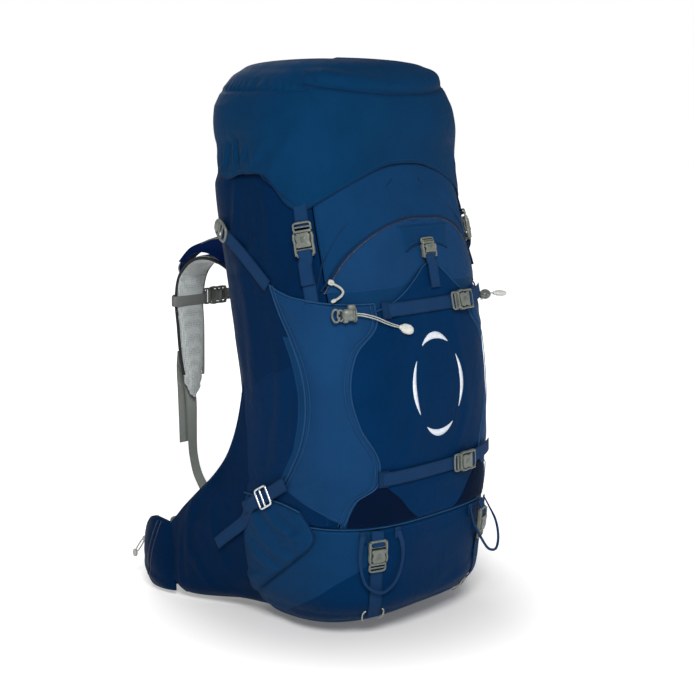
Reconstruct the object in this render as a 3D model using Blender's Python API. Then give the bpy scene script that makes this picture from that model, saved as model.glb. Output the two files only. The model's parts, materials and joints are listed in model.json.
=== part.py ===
"""Large trekking backpack with a floating lid, compression wings, harness and hip belt.

Metres, +Z up. The bag stands on its base at z = 0, its front faces -Y, the harness side faces +Y
and the wearer's left side is -X.
"""
import math

import bpy
import numpy as np

MM = 0.001

# ---- driving dimensions -------------------------------------------------------------------------
# Stations of the packed bag: height, half width, front face, back face, squareness of the outline.
BODY = [
    (0.000, 0.105, -0.115, 0.075, 2.4),
    (0.012, 0.140, -0.150, 0.095, 2.5),
    (0.040, 0.164, -0.172, 0.108, 2.8),
    (0.100, 0.178, -0.182, 0.114, 3.0),
    (0.180, 0.183, -0.184, 0.112, 3.1),
    (0.260, 0.184, -0.182, 0.104, 3.2),
    (0.360, 0.185, -0.178, 0.106, 3.2),
    (0.460, 0.185, -0.163, 0.120, 3.2),
    (0.540, 0.183, -0.145, 0.140, 3.1),
    (0.600, 0.181, -0.130, 0.156, 3.0),
    (0.660, 0.178, -0.118, 0.166, 3.0),
    (0.710, 0.172, -0.112, 0.168, 3.0),
]
# Stations of the lid, which is a little wider than the bag's mouth.
LID = [
    (0.600, 0.181, -0.128, 0.156, 3.0),
    (0.660, 0.182, -0.117, 0.166, 3.1),
    (0.700, 0.182, -0.114, 0.168, 3.1),
    (0.740, 0.180, -0.113, 0.167, 3.1),
    (0.770, 0.174, -0.109, 0.162, 3.0),
    (0.795, 0.162, -0.098, 0.152, 2.9),
    (0.815, 0.142, -0.080, 0.138, 2.8),
    (0.828, 0.110, -0.055, 0.115, 2.6),
    (0.835, 0.060, -0.015, 0.075, 2.3),
]
FABRIC = 4.5 * MM            # padded wall of the bag
GAP = 0.4 * MM               # air between neighbouring solids
LAYER = 2.7 * MM             # height of an outer panel's underside over the curved wall
STRAP_LINE = 5.8 * MM        # height of the straps that cross the outer panels
WEB = 20 * MM                # webbing width
WEB_T = 1.6 * MM             # webbing thickness
BOOT_TOP = 0.172             # seam above the bottom compartment
PANEL_TOP = 0.660            # top seam of the main bag
COLLAR_TOP = 0.705
LID_FLOOR = 0.712            # underside of the lid pocket
FRONT_EDGE = 56.0            # bearing of the seam between front and side panels, degrees
BACK_EDGE = 128.0            # bearing of the seam between side and back panels
SEAM = 0.25                  # bearing left free on each side of a seam, degrees
UPPER_STRAP_Z = 0.481
LOWER_STRAP_Z = 0.245
BUCKLE_W = 30 * MM
BUCKLE_LO = 0.6 * MM         # underside of a buckle above its strap's line
BUCKLE_HI = 10.6 * MM        # its top
MALE_L = 13 * MM             # shoulder of the male half
TONGUE_L = 17 * MM
FEMALE_L = 34 * MM
PLAY = 0.4 * MM              # running gap of a tongue in its socket
STRAP_W = 62 * MM            # padded shoulder strap
STRAP_T = 13 * MM
STRAP_X = 90 * MM            # shoulder strap off the centre line
BELT_T = 14 * MM
CORD_D = 4 * MM


# ---- surfaces -----------------------------------------------------------------------------------
def smooth(x, xs, ys):
    """Cubic Hermite curve through the stations, with the slopes of their neighbours."""
    xs, ys = np.asarray(xs, float), np.asarray(ys, float)
    slope = np.gradient(ys, xs)
    x = np.clip(x, xs[0], xs[-1])
    i = np.clip(np.searchsorted(xs, x) - 1, 0, len(xs) - 2)
    h = xs[i + 1] - xs[i]
    t = (x - xs[i]) / h
    rise = t * t * (3 - 2 * t)
    lead = t * (1 - t) ** 2 * h * slope[i]
    tail = -t * t * (1 - t) * h * slope[i + 1]
    return ys[i] + rise * (ys[i + 1] - ys[i]) + lead + tail


def bare_skin(table, bearing, z):
    """Superellipse of the stations at height z: bearing 0 is the front, -90 the left side."""
    columns = np.array(table).T
    half, front, back, square = (smooth(z, columns[0], c) for c in columns[1:])
    a = np.radians(bearing)
    depth = (back - front) / 2
    r = (np.abs(np.sin(a) / half) ** square + np.abs(np.cos(a) / depth) ** square) ** (-1 / square)
    return np.stack([r * np.sin(a), (front + back) / 2 - r * np.cos(a), z + 0 * a], -1)


def normals(table, bearing, z):
    """Outward unit normals: the cross product of the two tangents."""
    low, high = table[0][0], table[-1][0]
    step_a, step_z = 0.2, 0.5 * MM
    across = bare_skin(table, bearing + step_a, z) - bare_skin(table, bearing - step_a, z)
    up = (bare_skin(table, bearing, np.minimum(z + step_z, high))
          - bare_skin(table, bearing, np.maximum(z - step_z, low)))
    n = np.cross(across, up)
    return n / np.linalg.norm(n, axis=-1, keepdims=True)


def skin(table, bearing, z, out=0.0):
    """Points of the bag's skin, pushed out along its normal."""
    bearing, z, out = np.broadcast_arrays(*(np.asarray(v, float) for v in (bearing, z, out)))
    return bare_skin(table, bearing, z) + normals(table, bearing, z) * out[..., None]


# ---- solids -------------------------------------------------------------------------------------
def material(name, colour, rough=0.8, metal=0.0):
    mat = bpy.data.materials.new(name)
    mat.use_nodes = True
    shader = mat.node_tree.nodes["Principled BSDF"]
    shader.inputs["Base Color"].default_value = (*colour, 1.0)
    shader.inputs["Roughness"].default_value = rough
    shader.inputs["Metallic"].default_value = metal
    return mat


NAVY = (0.006, 0.038, 0.140)
LIGHT_NAVY = (0.014, 0.075, 0.230)
DARK_NAVY = (0.003, 0.017, 0.075)
GREY = (0.22, 0.235, 0.235)
BUCKLE_GREY = (0.27, 0.29, 0.26)
SILVER = (0.60, 0.62, 0.63)
WEB_BLUE = (0.020, 0.060, 0.170)
BLACK = (0.015, 0.015, 0.017)


def volume(points, faces):
    """Signed volume: the sum over fans of triangles of a . (b x c) / 6."""
    fans = [(f[0], f[i], f[i + 1]) for f in faces for i in range(1, len(f) - 1)]
    a, b, c = (points[list(corner)] for corner in zip(*fans))
    return np.einsum("ij,ij->", a, np.cross(b, c)) / 6


def solid(name, points, faces, colour, rough=0.8, metal=0.0):
    points = np.asarray(points, float)
    if volume(points, faces) < 0:
        faces = [f[::-1] for f in faces]
    mesh = bpy.data.meshes.new(name)
    mesh.from_pydata([tuple(p) for p in points], [], faces)
    mesh.update()
    mesh.polygons.foreach_set("use_smooth", [True] * len(mesh.polygons))
    mesh.set_sharp_from_angle(angle=math.radians(40))
    obj = bpy.data.objects.new(name, mesh)
    bpy.context.scene.collection.objects.link(obj)
    mesh.materials.append(material(name, colour, rough, metal))
    return obj


def slab(name, outer, inner, colour, **finish):
    """Closed slab between two grids of points, both with the normal's side as the outer one."""
    rows, cols = outer.shape[:2]
    index = np.arange(rows * cols).reshape(rows, cols)
    under = index + rows * cols
    faces = []
    for i in range(rows - 1):
        for j in range(cols - 1):
            faces.append([index[i, j], index[i, j + 1], index[i + 1, j + 1], index[i + 1, j]])
            faces.append([under[i, j], under[i + 1, j], under[i + 1, j + 1], under[i, j + 1]])
    for i in range(rows - 1):
        faces.append([index[i, 0], index[i + 1, 0], under[i + 1, 0], under[i, 0]])
        faces.append([index[i, -1], under[i, -1], under[i + 1, -1], index[i + 1, -1]])
    for j in range(cols - 1):
        faces.append([index[0, j], under[0, j], under[0, j + 1], index[0, j + 1]])
        faces.append([index[-1, j], index[-1, j + 1], under[-1, j + 1], under[-1, j]])
    points = np.concatenate([outer.reshape(-1, 3), inner.reshape(-1, 3)])
    return solid(name, points, [[int(v) for v in f] for f in faces], colour, **finish)


def patch(name, left, right, z, colour, low=LAYER, high=LAYER + 2 * MM, cols=8, z_right=None, **finish):
    """Panel of the skin, ruled from its left edge (bearings left at z) to its right edge."""
    z = np.asarray(z, float)[:, None]
    far = z if z_right is None else np.asarray(z_right, float)[:, None]
    left, right = (np.broadcast_to(edge, len(z))[:, None] for edge in (left, right))
    u = np.linspace(0, 1, cols + 1)
    bearing, height = left + (right - left) * u, z + (far - z) * u
    outer = skin(BODY, bearing, height, high)
    inner = skin(BODY, bearing, height, low)
    return slab(name, outer, inner, colour, **finish)


def turned(name, rings, colour, poles=None, **finish):
    """Closed shape through rings of points, capped by two poles or joined last ring to first."""
    rings = np.asarray(rings)
    count, turn = rings.shape[:2]
    index = np.arange(count * turn).reshape(count, turn)
    points = rings.reshape(-1, 3)
    pairs = [(i, i + 1) for i in range(count - 1)]
    faces = []
    if poles is None:
        pairs.append((count - 1, 0))
    else:
        points = np.concatenate([points, np.asarray(poles)])
        first, last = count * turn, count * turn + 1
    for a, b in pairs:
        for j in range(turn):
            k = (j + 1) % turn
            faces.append([index[a, j], index[a, k], index[b, k], index[b, j]])
    if poles is not None:
        for j in range(turn):
            k = (j + 1) % turn
            faces.append([first, index[0, k], index[0, j]])
            faces.append([last, index[-1, j], index[-1, k]])
    return solid(name, points, [[int(v) for v in f] for f in faces], colour, **finish)


def bar(name, path, out, sections, colour, **finish):
    """Flat bar carried along a path. Each section is its width, underside and top along out."""
    path, out = np.asarray(path, float), np.asarray(out, float)
    out = np.broadcast_to(out, path.shape)
    along = np.gradient(path, axis=0)
    along /= np.linalg.norm(along, axis=1, keepdims=True)
    side = np.cross(along, out)
    side /= np.linalg.norm(side, axis=1, keepdims=True)
    up = np.cross(side, along)
    width, low, high = (np.array([s[i] for s in sections])[:, None] for i in range(3))
    rings = np.stack([path + side * width / 2 + up * low, path - side * width / 2 + up * low,
                      path - side * width / 2 + up * high, path + side * width / 2 + up * high], 1)
    points = rings.reshape(-1, 3)
    faces = [[0, 1, 2, 3]]
    last = 4 * (len(path) - 1)
    faces.append([last + 3, last + 2, last + 1, last])
    for i in range(len(path) - 1):
        for j in range(4):
            k = (j + 1) % 4
            faces.append([4 * i + k, 4 * i + j, 4 * i + 4 + j, 4 * i + 4 + k])
    return solid(name, points, faces, colour, **finish)


def through(points, count):
    """Smooth curve through hand-set points, in even steps of their chord length."""
    points = np.asarray(points, float)
    s = np.concatenate([[0], np.cumsum(np.linalg.norm(np.diff(points, axis=0), axis=1))])
    at = np.linspace(0, s[-1], count)
    return np.stack([smooth(at, s, points[:, i]) for i in range(3)], 1)


def laid(route, out, count=8):
    """Path on the skin through (bearing, height) points, and the skin's normals along it."""
    bearing, z = np.array(route).T
    at = np.linspace(0, 1, count)
    given = np.linspace(0, 1, len(route))
    bearing, z = smooth(at, given, bearing), smooth(at, given, z)
    return skin(BODY, bearing, z, out), normals(BODY, bearing, z)


def strap_and_male(name, path, up, colour=BUCKLE_GREY, widths=None, length=1.0):
    """Strap along path that runs on straight into a male half. Returns its socket's place."""
    path = np.asarray(path, float)
    up = np.broadcast_to(np.asarray(up, float), path.shape)
    along = path[-1] - path[-2]
    along /= np.linalg.norm(along)
    shoulder = (BUCKLE_W, BUCKLE_LO, BUCKLE_HI)
    tongue = (BUCKLE_W / 2, BUCKLE_LO + 3 * MM, BUCKLE_HI - 3 * MM)
    male = MALE_L * length
    steps = np.array([0.8 * MM, male, male + 0.2 * MM, male + TONGUE_L * length])
    tip = path[-1] + along * steps[:, None]
    sections = [(w, 0, WEB_T) for w in (widths or [WEB] * len(path))]
    bar(name, np.concatenate([path, tip]), np.concatenate([up, np.repeat(up[-1:], 4, 0)]),
        sections + [shoulder, shoulder, tongue, tongue], colour, rough=0.5)
    return path[-1] + along * (male + 0.2 * MM + PLAY), along, up[-1]


def socket(name, mouth, along, up, colour=BUCKLE_GREY, length=1.0, tail=()):
    """Female half: a flat cup open at its mouth, then the webbing sewn to it along the tail points."""
    side = np.cross(along, up)
    side /= np.linalg.norm(side)
    up = np.cross(side, along)
    half = BUCKLE_W / 2
    hole = BUCKLE_W / 4 + PLAY
    low, high = BUCKLE_LO + 3 * MM - PLAY, BUCKLE_HI - 3 * MM + PLAY

    def ring(centre, wide, under, top):
        corners = [(wide, under), (-wide, under), (-wide, top), (wide, top)]
        return [centre + side * s + up * t for s, t in corners]

    deep = mouth + along * (TONGUE_L * length + PLAY)
    back = mouth + along * FEMALE_L * length
    rings = [ring(deep, hole, low, high), ring(mouth, hole, low, high),
             ring(mouth, half, BUCKLE_LO, BUCKLE_HI), ring(back, half * 0.9, BUCKLE_LO, BUCKLE_HI)]
    strap = [back + along * 0.2 * MM] + [np.asarray(p, float) for p in tail]
    if len(tail):
        rings += [ring(p, WEB / 2, BUCKLE_LO + 1 * MM, BUCKLE_LO + 1 * MM + WEB_T) for p in strap]
    else:
        strap = [back]
    poles = [deep + up * (low + high) / 2, np.mean(rings[-1], axis=0)]
    return turned(name, np.array(rings), colour, poles, rough=0.5)


def tube(name, path, radius, colour, sides=8, **finish):
    """Round bar along a path, closed by flat ends."""
    path = np.asarray(path, float)
    along = np.gradient(path, axis=0)
    along /= np.linalg.norm(along, axis=1, keepdims=True)
    side = np.cross(along, [0.13, 0.21, 0.97])
    side /= np.linalg.norm(side, axis=1, keepdims=True)
    up = np.cross(side, along)
    a = np.linspace(0, 2 * np.pi, sides, endpoint=False)[:, None]
    radius = np.broadcast_to(radius, len(path))
    rings = [p + r * (np.cos(a) * s + np.sin(a) * u) for p, r, s, u in zip(path, radius, side, up)]
    return turned(name, np.array(rings)[:, ::-1], colour, [path[0], path[-1]], **finish)


def cord(name, points, colour, diameter=CORD_D, count=30):
    """Free cord: a round curve through hand-set points."""
    path = through(points, count)
    curve = bpy.data.curves.new(name, "CURVE")
    curve.dimensions = "3D"
    curve.bevel_depth = diameter / 2
    curve.bevel_resolution = 2
    curve.use_fill_caps = True
    spline = curve.splines.new("POLY")
    spline.points.add(count - 1)
    spline.points.foreach_set("co", np.c_[path, np.ones(count)].ravel())
    obj = bpy.data.objects.new(name, curve)
    bpy.context.scene.collection.objects.link(obj)
    curve.materials.append(material(name, colour))
    return obj


SIDES = (("left", -1), ("right", 1))


# ---- the bag ------------------------------------------------------------------------------------
TURN = np.linspace(-180, 180, 33)[:-1]


def mouth_ring(z, out, table=BODY):
    return skin(table, TURN, z, out)


def bottom_compartment():
    heights = [0.0, 0.012, 0.040, 0.100, BOOT_TOP - GAP]
    outer = [mouth_ring(z, 0.0) for z in heights]
    inner = [mouth_ring(z, -FABRIC) for z in (BOOT_TOP - GAP, 0.100, 0.040, 0.016)]
    inner[-1][:, 2] = 0.008
    floor = inner[-1].mean(axis=0)
    base = outer[0].mean(axis=0)
    turned("boot_shell", outer + inner, LIGHT_NAVY, [base, floor])


def divider():
    rim = [mouth_ring(z, -FABRIC - 2 * MM) for z in (BOOT_TOP + 2 * MM, BOOT_TOP + 4 * MM)]
    for ring, z in zip(rim, (BOOT_TOP + 2 * MM, BOOT_TOP + 4 * MM)):
        ring[:, 2] = z
    turned("divider", rim, DARK_NAVY, [rim[0].mean(axis=0), rim[1].mean(axis=0)])


def main_walls():
    z = np.linspace(BOOT_TOP + GAP, PANEL_TOP, 11)
    walls = dict(low=-FABRIC, high=0.0)
    patch("front_panel", -FRONT_EDGE + SEAM, FRONT_EDGE - SEAM, z, NAVY, cols=20, **walls)
    patch("side_panel_left", -BACK_EDGE + SEAM, -FRONT_EDGE - SEAM, z, DARK_NAVY, cols=10, **walls)
    patch("side_panel_right", FRONT_EDGE + SEAM, BACK_EDGE - SEAM, z, DARK_NAVY, cols=10, **walls)
    patch("back_panel", BACK_EDGE + SEAM, 360 - BACK_EDGE - SEAM, z, DARK_NAVY, cols=10, **walls)


def collar():
    out = -FABRIC - 2.4 * MM
    low, high = PANEL_TOP - 0.020, COLLAR_TOP
    mid = PANEL_TOP + 0.020
    rings = [mouth_ring(low, out), mouth_ring(mid, out), mouth_ring(high, out),
             mouth_ring(high, out - 2 * MM), mouth_ring(mid, out - 2 * MM), mouth_ring(low, out - 2 * MM)]
    turned("collar", rings, DARK_NAVY)


def frame():
    z = np.linspace(0.200, 0.625, 8)
    patch("framesheet", 150, 210, z, BLACK, low=-FABRIC - 4 * MM, high=-FABRIC - 2.2 * MM, cols=8)
    route = [(146, 0.205), (147, 0.32), (149, 0.44), (151, 0.56), (158, 0.618), (180, 0.632),
             (202, 0.618), (209, 0.56), (211, 0.44), (213, 0.32), (214, 0.205)]
    path, _ = laid(route, -FABRIC - 8 * MM, 22)
    tube("frame_rod", path, 2.5 * MM, SILVER, metal=1.0, rough=0.3)


# Edges of the left compression wing and of the left side pocket: (bearing, height) from below.
WING_REAR = [(-85, 0.223), (-84, 0.230), (-80, 0.252), (-75, 0.285), (-71, 0.340), (-72, 0.403),
             (-76, 0.447), (-80, 0.480), (-83, 0.516)]
WING_FRONT = [(-54, 0.180), (-49, 0.216), (-40, 0.236), (-39, 0.262), (-48, 0.324), (-51, 0.370),
              (-47, 0.425), (-36, 0.466), (-36, 0.492)]
POCKET_REAR = [(-118, 0.030), (-118, 0.070), (-118, 0.110), (-118, 0.150), (-118, 0.196)]
POCKET_FRONT = [(-104, 0.055), (-90, 0.088), (-78, 0.118), (-67, 0.158), (-74, 0.195)]
ARCH_LEFT = [(-57, 0.508), (-53, 0.525), (-46, 0.552), (-33, 0.580), (-18, 0.597), (-4, 0.604)]
ARCH_RIGHT = [(53, 0.508), (51, 0.530), (47, 0.558), (39, 0.584), (28, 0.599), (10, 0.604)]


def edged(name, rear, front, colour, mirror=False, **size):
    """Panel between two drawn edges, or its mirror image."""
    (left, z_left), (right, z_right) = np.array(rear, float).T, np.array(front, float).T
    if mirror:
        left, right, z_left, z_right = -right, -left, z_right, z_left
    patch(name, left, right, z_left, colour, z_right=z_right, **size)


def outer_panels():
    for side, sign in SIDES:
        edged(f"wing_{side}", WING_REAR, WING_FRONT, LIGHT_NAVY, mirror=sign > 0, cols=8)
        edged(f"side_pocket_{side}", POCKET_REAR, POCKET_FRONT, DARK_NAVY, mirror=sign > 0)
    z = np.linspace(0.200, 0.464, 9)
    front = np.array(WING_FRONT)
    edge = -np.interp(z, front[:, 1], front[:, 0]) - 1.2
    patch("stretch_pocket", -edge, edge, z, DARK_NAVY, cols=18)
    edged("upper_pocket", ARCH_LEFT, ARCH_RIGHT, NAVY, high=4 * MM, cols=14)


# ---- straps and buckles -------------------------------------------------------------------------
def compression_straps():
    for name, z, start, end in (("upper", UPPER_STRAP_Z, -35, 20), ("lower", LOWER_STRAP_Z, -38, 13)):
        path, up = laid([(start, z), (end, z)], STRAP_LINE, 12)
        place = strap_and_male(f"{name}_strap", path, up)
        socket(f"{name}_buckle", *place)


def lid_straps():
    for side, sign in SIDES:
        bearing = sign * 61.0
        z = np.array([0.652, 0.640, 0.628, 0.614, 0.604])
        out = np.array([7.6, 6.6, 5.6, 4.8, 4.4]) * MM
        path, up = skin(BODY, bearing, z, out), normals(BODY, bearing, z)
        mouth, along, up = strap_and_male(f"lid_strap_{side}", path, up)
        tail = [skin(BODY, sign * 62.5, z, 5.6 * MM) for z in (0.545, 0.530, 0.516)]
        socket(f"lid_buckle_{side}", mouth, along, up, tail=tail)


def pocket_flap():
    bearing, z = 7.0, np.array([0.594, 0.585, 0.574])
    path, up = skin(BODY, bearing, z, 5.0 * MM), normals(BODY, bearing, z)
    mouth, along, up = strap_and_male("pocket_flap", path, up, NAVY, [0.100, 0.094, 0.072], length=0.6)
    tail = [skin(BODY, 8.0, z, 4.6 * MM) for z in (0.535, 0.520, 0.506)]
    socket("pocket_buckle", mouth, along, up, length=0.6, tail=tail)


def pad_straps():
    for side, sign in SIDES:
        z = np.linspace(0.026, 0.112, 6)
        path, up = skin(BODY, sign * 39.5, z, 0.6 * MM), normals(BODY, sign * 39.5, z)
        place = strap_and_male(f"pad_strap_{side}", path, up)
        socket(f"pad_buckle_{side}", *place)


def side_straps():
    for side, sign in SIDES:
        path, up = laid([(sign * 108, 0.590), (sign * 96, 0.560), (sign * 85, 0.526)], LAYER, 6)
        lock = [(28 * MM, 0, 6 * MM), (28 * MM, 0, 5 * MM)]
        bar(f"side_strap_{side}", path, up, lock + [(WEB, 0, WEB_T)] * 4, WEB_BLUE)
        path, up = laid([(sign * 83, 0.228), (sign * 95, 0.205), (sign * 110, 0.176)], STRAP_LINE + 1 * MM, 7)
        glide = [(28 * MM, 0, 3 * MM)] * 2
        bar(f"stabiliser_{side}", path, up, [(WEB, 0, WEB_T)] * 3 + glide + [(WEB, 0, WEB_T)] * 2, WEB_BLUE)


def cords():
    """Tool loops and bungees, as (bearing, height, stand-off in mm). The right ones stand out further."""
    loops = ([(-46, 0.166, 4), (-47, 0.148, 6), (-47, 0.118, 9), (-44, 0.090, 10), (-37, 0.078, 10),
              (-31, 0.090, 9), (-27, 0.118, 7), (-27, 0.148, 6), (-29, 0.166, 4)],
             [(47, 0.166, 4), (48, 0.152, 11), (48, 0.130, 23), (45, 0.108, 31), (40, 0.098, 33),
              (35, 0.103, 28), (32, 0.120, 18), (29, 0.146, 9), (29, 0.166, 4)])
    bungees = ([(-52, 0.463, 8), (-46, 0.466, 8.6), (-38, 0.460, 8.6), (-31, 0.453, 8.4), (-24, 0.452, 8.2)],
               [(51, 0.472, 8), (55, 0.475, 11), (59, 0.475, 18), (61, 0.474, 27), (62, 0.472, 37)])
    for name, routes, colour in (("tool_loop", loops, WEB_BLUE), ("bungee", bungees, GREY)):
        for (side, _), points in zip(SIDES, routes):
            bearing, z, out = np.array(points, float).T
            cord(f"{name}_{side}", skin(BODY, bearing, z, out * MM), colour)


def zip_pull():
    z = np.linspace(0.523, 0.498, 5)
    path, up = skin(BODY, -53.5, z, 7.4 * MM), normals(BODY, -53.5, z)
    sections = [(4 * MM, -1 * MM, 1 * MM)] * 2 + [(6 * MM, -1.5 * MM, 1.5 * MM)] * 3
    bar("zip_pull", path, up, sections, GREY)


# ---- lid ----------------------------------------------------------------------------------------
def lid_edge(bearing):
    """Height of the skirt's hem: an arch at the front, a corner patch at the straps, level behind."""
    b = np.abs(bearing)
    at = [0, 15, 30, 44, 55, 66, 74, 90, 112, 120, 180]
    hem = [0.685, 0.682, 0.668, 0.648, 0.625, 0.627, 0.664, 0.672, 0.668, 0.700, 0.704]
    return np.interp(b, at, hem)


def lid():
    turn = np.linspace(-180, 180, 49)[:-1]
    hem = lid_edge(turn)

    def ring(z, out):
        return skin(LID, turn, z, out)

    def skirt(share, out):
        z = hem + (0.706 - hem) * share
        return ring(z, (out - 3.0 * share) * MM)

    inner = [ring(LID_FLOOR, -2.6 * MM), skirt(0.5, 0.9), skirt(0.0, 0.9)]
    outer = [skirt(0.0, 2.9), skirt(0.5, 2.9)]
    dome = [ring(z, 0.0) for z in (0.725, 0.750, 0.775, 0.800, 0.818, 0.829)]
    rings = inner + outer + dome
    poles = [inner[0].mean(axis=0), dome[-1].mean(axis=0) + np.array([0, 0, 6 * MM])]
    turned("lid_shell", rings, NAVY, poles)


# ---- harness ------------------------------------------------------------------------------------
def padded(name, path, sections, colour):
    """Pad along a path that bends in the YZ plane, thick both ways from its middle."""
    path = np.asarray(path, float)
    along = np.gradient(path, axis=0)
    up = np.stack([0 * along[:, 0], -along[:, 2], along[:, 1]], 1)
    return bar(name, path, up, sections, colour)


def back_pads():
    z = np.linspace(0.195, 0.465, 6)
    patch("back_pad", 153, 207, z, GREY, high=14 * MM)
    z = np.linspace(0.045, 0.160, 4)
    patch("lumbar_pad", 150, 210, z, GREY, high=14 * MM)
    z = np.linspace(0.475, 0.598, 4)
    patch("yoke", 147, 213, z, NAVY, high=5 * MM)


SHOULDER = [(0.144, 0.506), (0.168, 0.522), (0.200, 0.530), (0.233, 0.524), (0.260, 0.500),
            (0.270, 0.460), (0.264, 0.415), (0.257, 0.370), (0.248, 0.330), (0.240, 0.300)]
LIFTER = [(0.277, 0.490), (0.286, 0.506), (0.266, 0.528), (0.238, 0.544), (0.208, 0.555), (0.186, 0.562)]
LOWER = [(0.2655, 0.372), (0.2635, 0.355), (0.258, 0.325), (0.254, 0.290), (0.253, 0.245), (0.250, 0.200),
         (0.240, 0.172), (0.224, 0.152)]
STERNUM_Z = 0.456


def shoulder_harness():
    for side, sign in SIDES:
        drift = np.array([-14, -10, -6, -3, 0, 2, 5, 9, 13, 16]) * MM
        path = [(sign * (STRAP_X + d), y, z) for d, (y, z) in zip(drift, SHOULDER)]
        wide = np.array([56, 60, 62, 62, 62, 60, 58, 54, 46, 34]) * MM
        half = np.array([9, 12, 13, 13, 13, 13, 13, 12, 10, 7]) * MM / 2
        padded(f"shoulder_strap_{side}", path, [(w, -h, h) for w, h in zip(wide, half)], GREY)
        path = [(sign * STRAP_X, y, z) for y, z in LIFTER]
        padded(f"lifter_{side}", path, [(WEB, 0, WEB_T)] * 6, WEB_BLUE)
        path = [(sign * (STRAP_X + 14 * MM), y, z) for y, z in LOWER]
        lock = [(28 * MM, 0, 5 * MM)] * 2
        padded(f"lower_webbing_{side}", path, lock + [(WEB, 0, WEB_T)] * 6, WEB_BLUE)
    path = [(-0.112, 0.2785, STERNUM_Z), (-0.085, 0.2785, STERNUM_Z), (-0.062, 0.2785, STERNUM_Z),
            (-0.050, 0.2785, STERNUM_Z)]
    mouth, along, up = strap_and_male("sternum_strap", path, (0, 1, 0))
    tail = [(x, 0.2785, STERNUM_Z) for x in (0.030, 0.070, 0.108)]
    socket("sternum_buckle", mouth, along, up, tail=tail)


def haul_loop():
    path = [(-0.048, 0.1705, 0.650), (-0.050, 0.175, 0.634), (-0.038, 0.179, 0.614), (-0.015, 0.181, 0.605),
            (0.015, 0.181, 0.605), (0.038, 0.179, 0.614), (0.050, 0.175, 0.634), (0.048, 0.1705, 0.650)]
    bar("haul_loop", path, (0, 1, 0), [(12 * MM, 0, 4 * MM)] * 8, WEB_BLUE)


# ---- hip belt -----------------------------------------------------------------------------------
WING_PLAN = [(-0.120, 0.135), (-0.150, 0.143), (-0.176, 0.166), (-0.187, 0.200), (-0.184, 0.240),
             (-0.168, 0.282)]
FIN_ROWS = [(0.030, 0.124), (0.070, 0.124), (0.124, 0.126), (0.130, 0.190), (0.152, 0.176), (0.182, 0.150),
            (0.211, 0.119), (0.244, 0.090), (0.276, 0.074), (0.298, 0.064)]
FIN_START = 0.056


def hip_belt():
    for side, sign in SIDES:
        flip = np.array([-sign, 1, 1])
        plan = np.array(WING_PLAN)
        low, high = 0.012, 0.118
        path = np.c_[plan, np.full(len(plan), (low + high) / 2)] * flip
        along = np.gradient(path, axis=0)
        up = np.cross(along, [0, 0, 1.0]) * sign
        tall = np.array([74, 90, 104, 106, 100, 78]) * MM
        half = np.array([8, 12, 14, 14, 14, 10]) * MM / 2
        bar(f"hip_wing_{side}", path, up, [(t, -h, h) for t, h in zip(tall, half)], NAVY)
        unit = up / np.linalg.norm(up, axis=1, keepdims=True)
        middle = path[2:5] + unit[2:5] * 8.8 * MM
        ends = [middle[0] * 0.85 + middle[1] * 0.15, middle[0] * 0.3 + middle[1] * 0.7, middle[1],
                middle[1] * 0.4 + middle[2] * 0.6, middle[2] * 1.12 - middle[1] * 0.12]
        depth = np.array([8, 22, 26, 22, 8]) * MM
        height = np.array([82, 94, 98, 94, 80]) * MM
        ups = [unit[2], unit[3], unit[3], unit[4], unit[4]]
        bar(f"hip_pocket_{side}", ends, ups, [(h, 0, d) for h, d in zip(height, depth)], NAVY)
    fin()
    belt_webbing()


def fin():
    """Thin gusset between the bag's side and the belt: its rear edge slants up to the bag."""
    z, end = np.array(FIN_ROWS).T
    u = np.linspace(0, 1, 5)
    y = FIN_START + (end - FIN_START)[:, None] * u
    x = -0.175 - 0.015 * np.clip((y - FIN_START) / 0.070, 0, 1.3)
    grid = np.stack([x, y, z[:, None] + 0 * y], -1)
    for side, sign in SIDES:
        flip = np.array([-sign, 1, 1])
        slab(f"fin_{side}", (grid - [1.2 * MM, 0, 0]) * flip, grid * flip, NAVY)


def belt_webbing():
    z = 0.064
    plan = np.array([(-0.166, 0.2935), (-0.150, 0.302), (-0.128, 0.306), (-0.106, 0.306)])
    path = np.c_[plan, np.full(4, z)]
    strap_and_male("belt_strap_left", path, (0.35, 0.94, 0), widths=[38 * MM] * 3 + [30 * MM])
    mouth = np.array([0.064, 0.306, z])
    tail = [(0.112, 0.306, z), (0.132, 0.305, z), (0.150, 0.301, z), (0.164, 0.2945, z)]
    socket("belt_strap_right", mouth, np.array([1.0, 0, 0]), np.array([0, 1.0, 0]), tail=tail)


def build():
    for obj in list(bpy.data.objects):
        bpy.data.objects.remove(obj, do_unlink=True)
    bottom_compartment()
    divider()
    main_walls()
    collar()
    frame()
    outer_panels()
    compression_straps()
    lid_straps()
    pocket_flap()
    pad_straps()
    side_straps()
    cords()
    zip_pull()
    lid()
    back_pads()
    shoulder_harness()
    haul_loop()
    hip_belt()


build()
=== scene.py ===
"""Looks of the trekking backpack: cloth panels, folds, webbing, buckles, harness and belt.

Every surface is a grid of points. A place on the bag is (bearing, height): bearing 0 is
the front, -90 the wearer's left side and 180 the back, in degrees; heights and sizes are in metres.
"""

import json
import math

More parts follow.
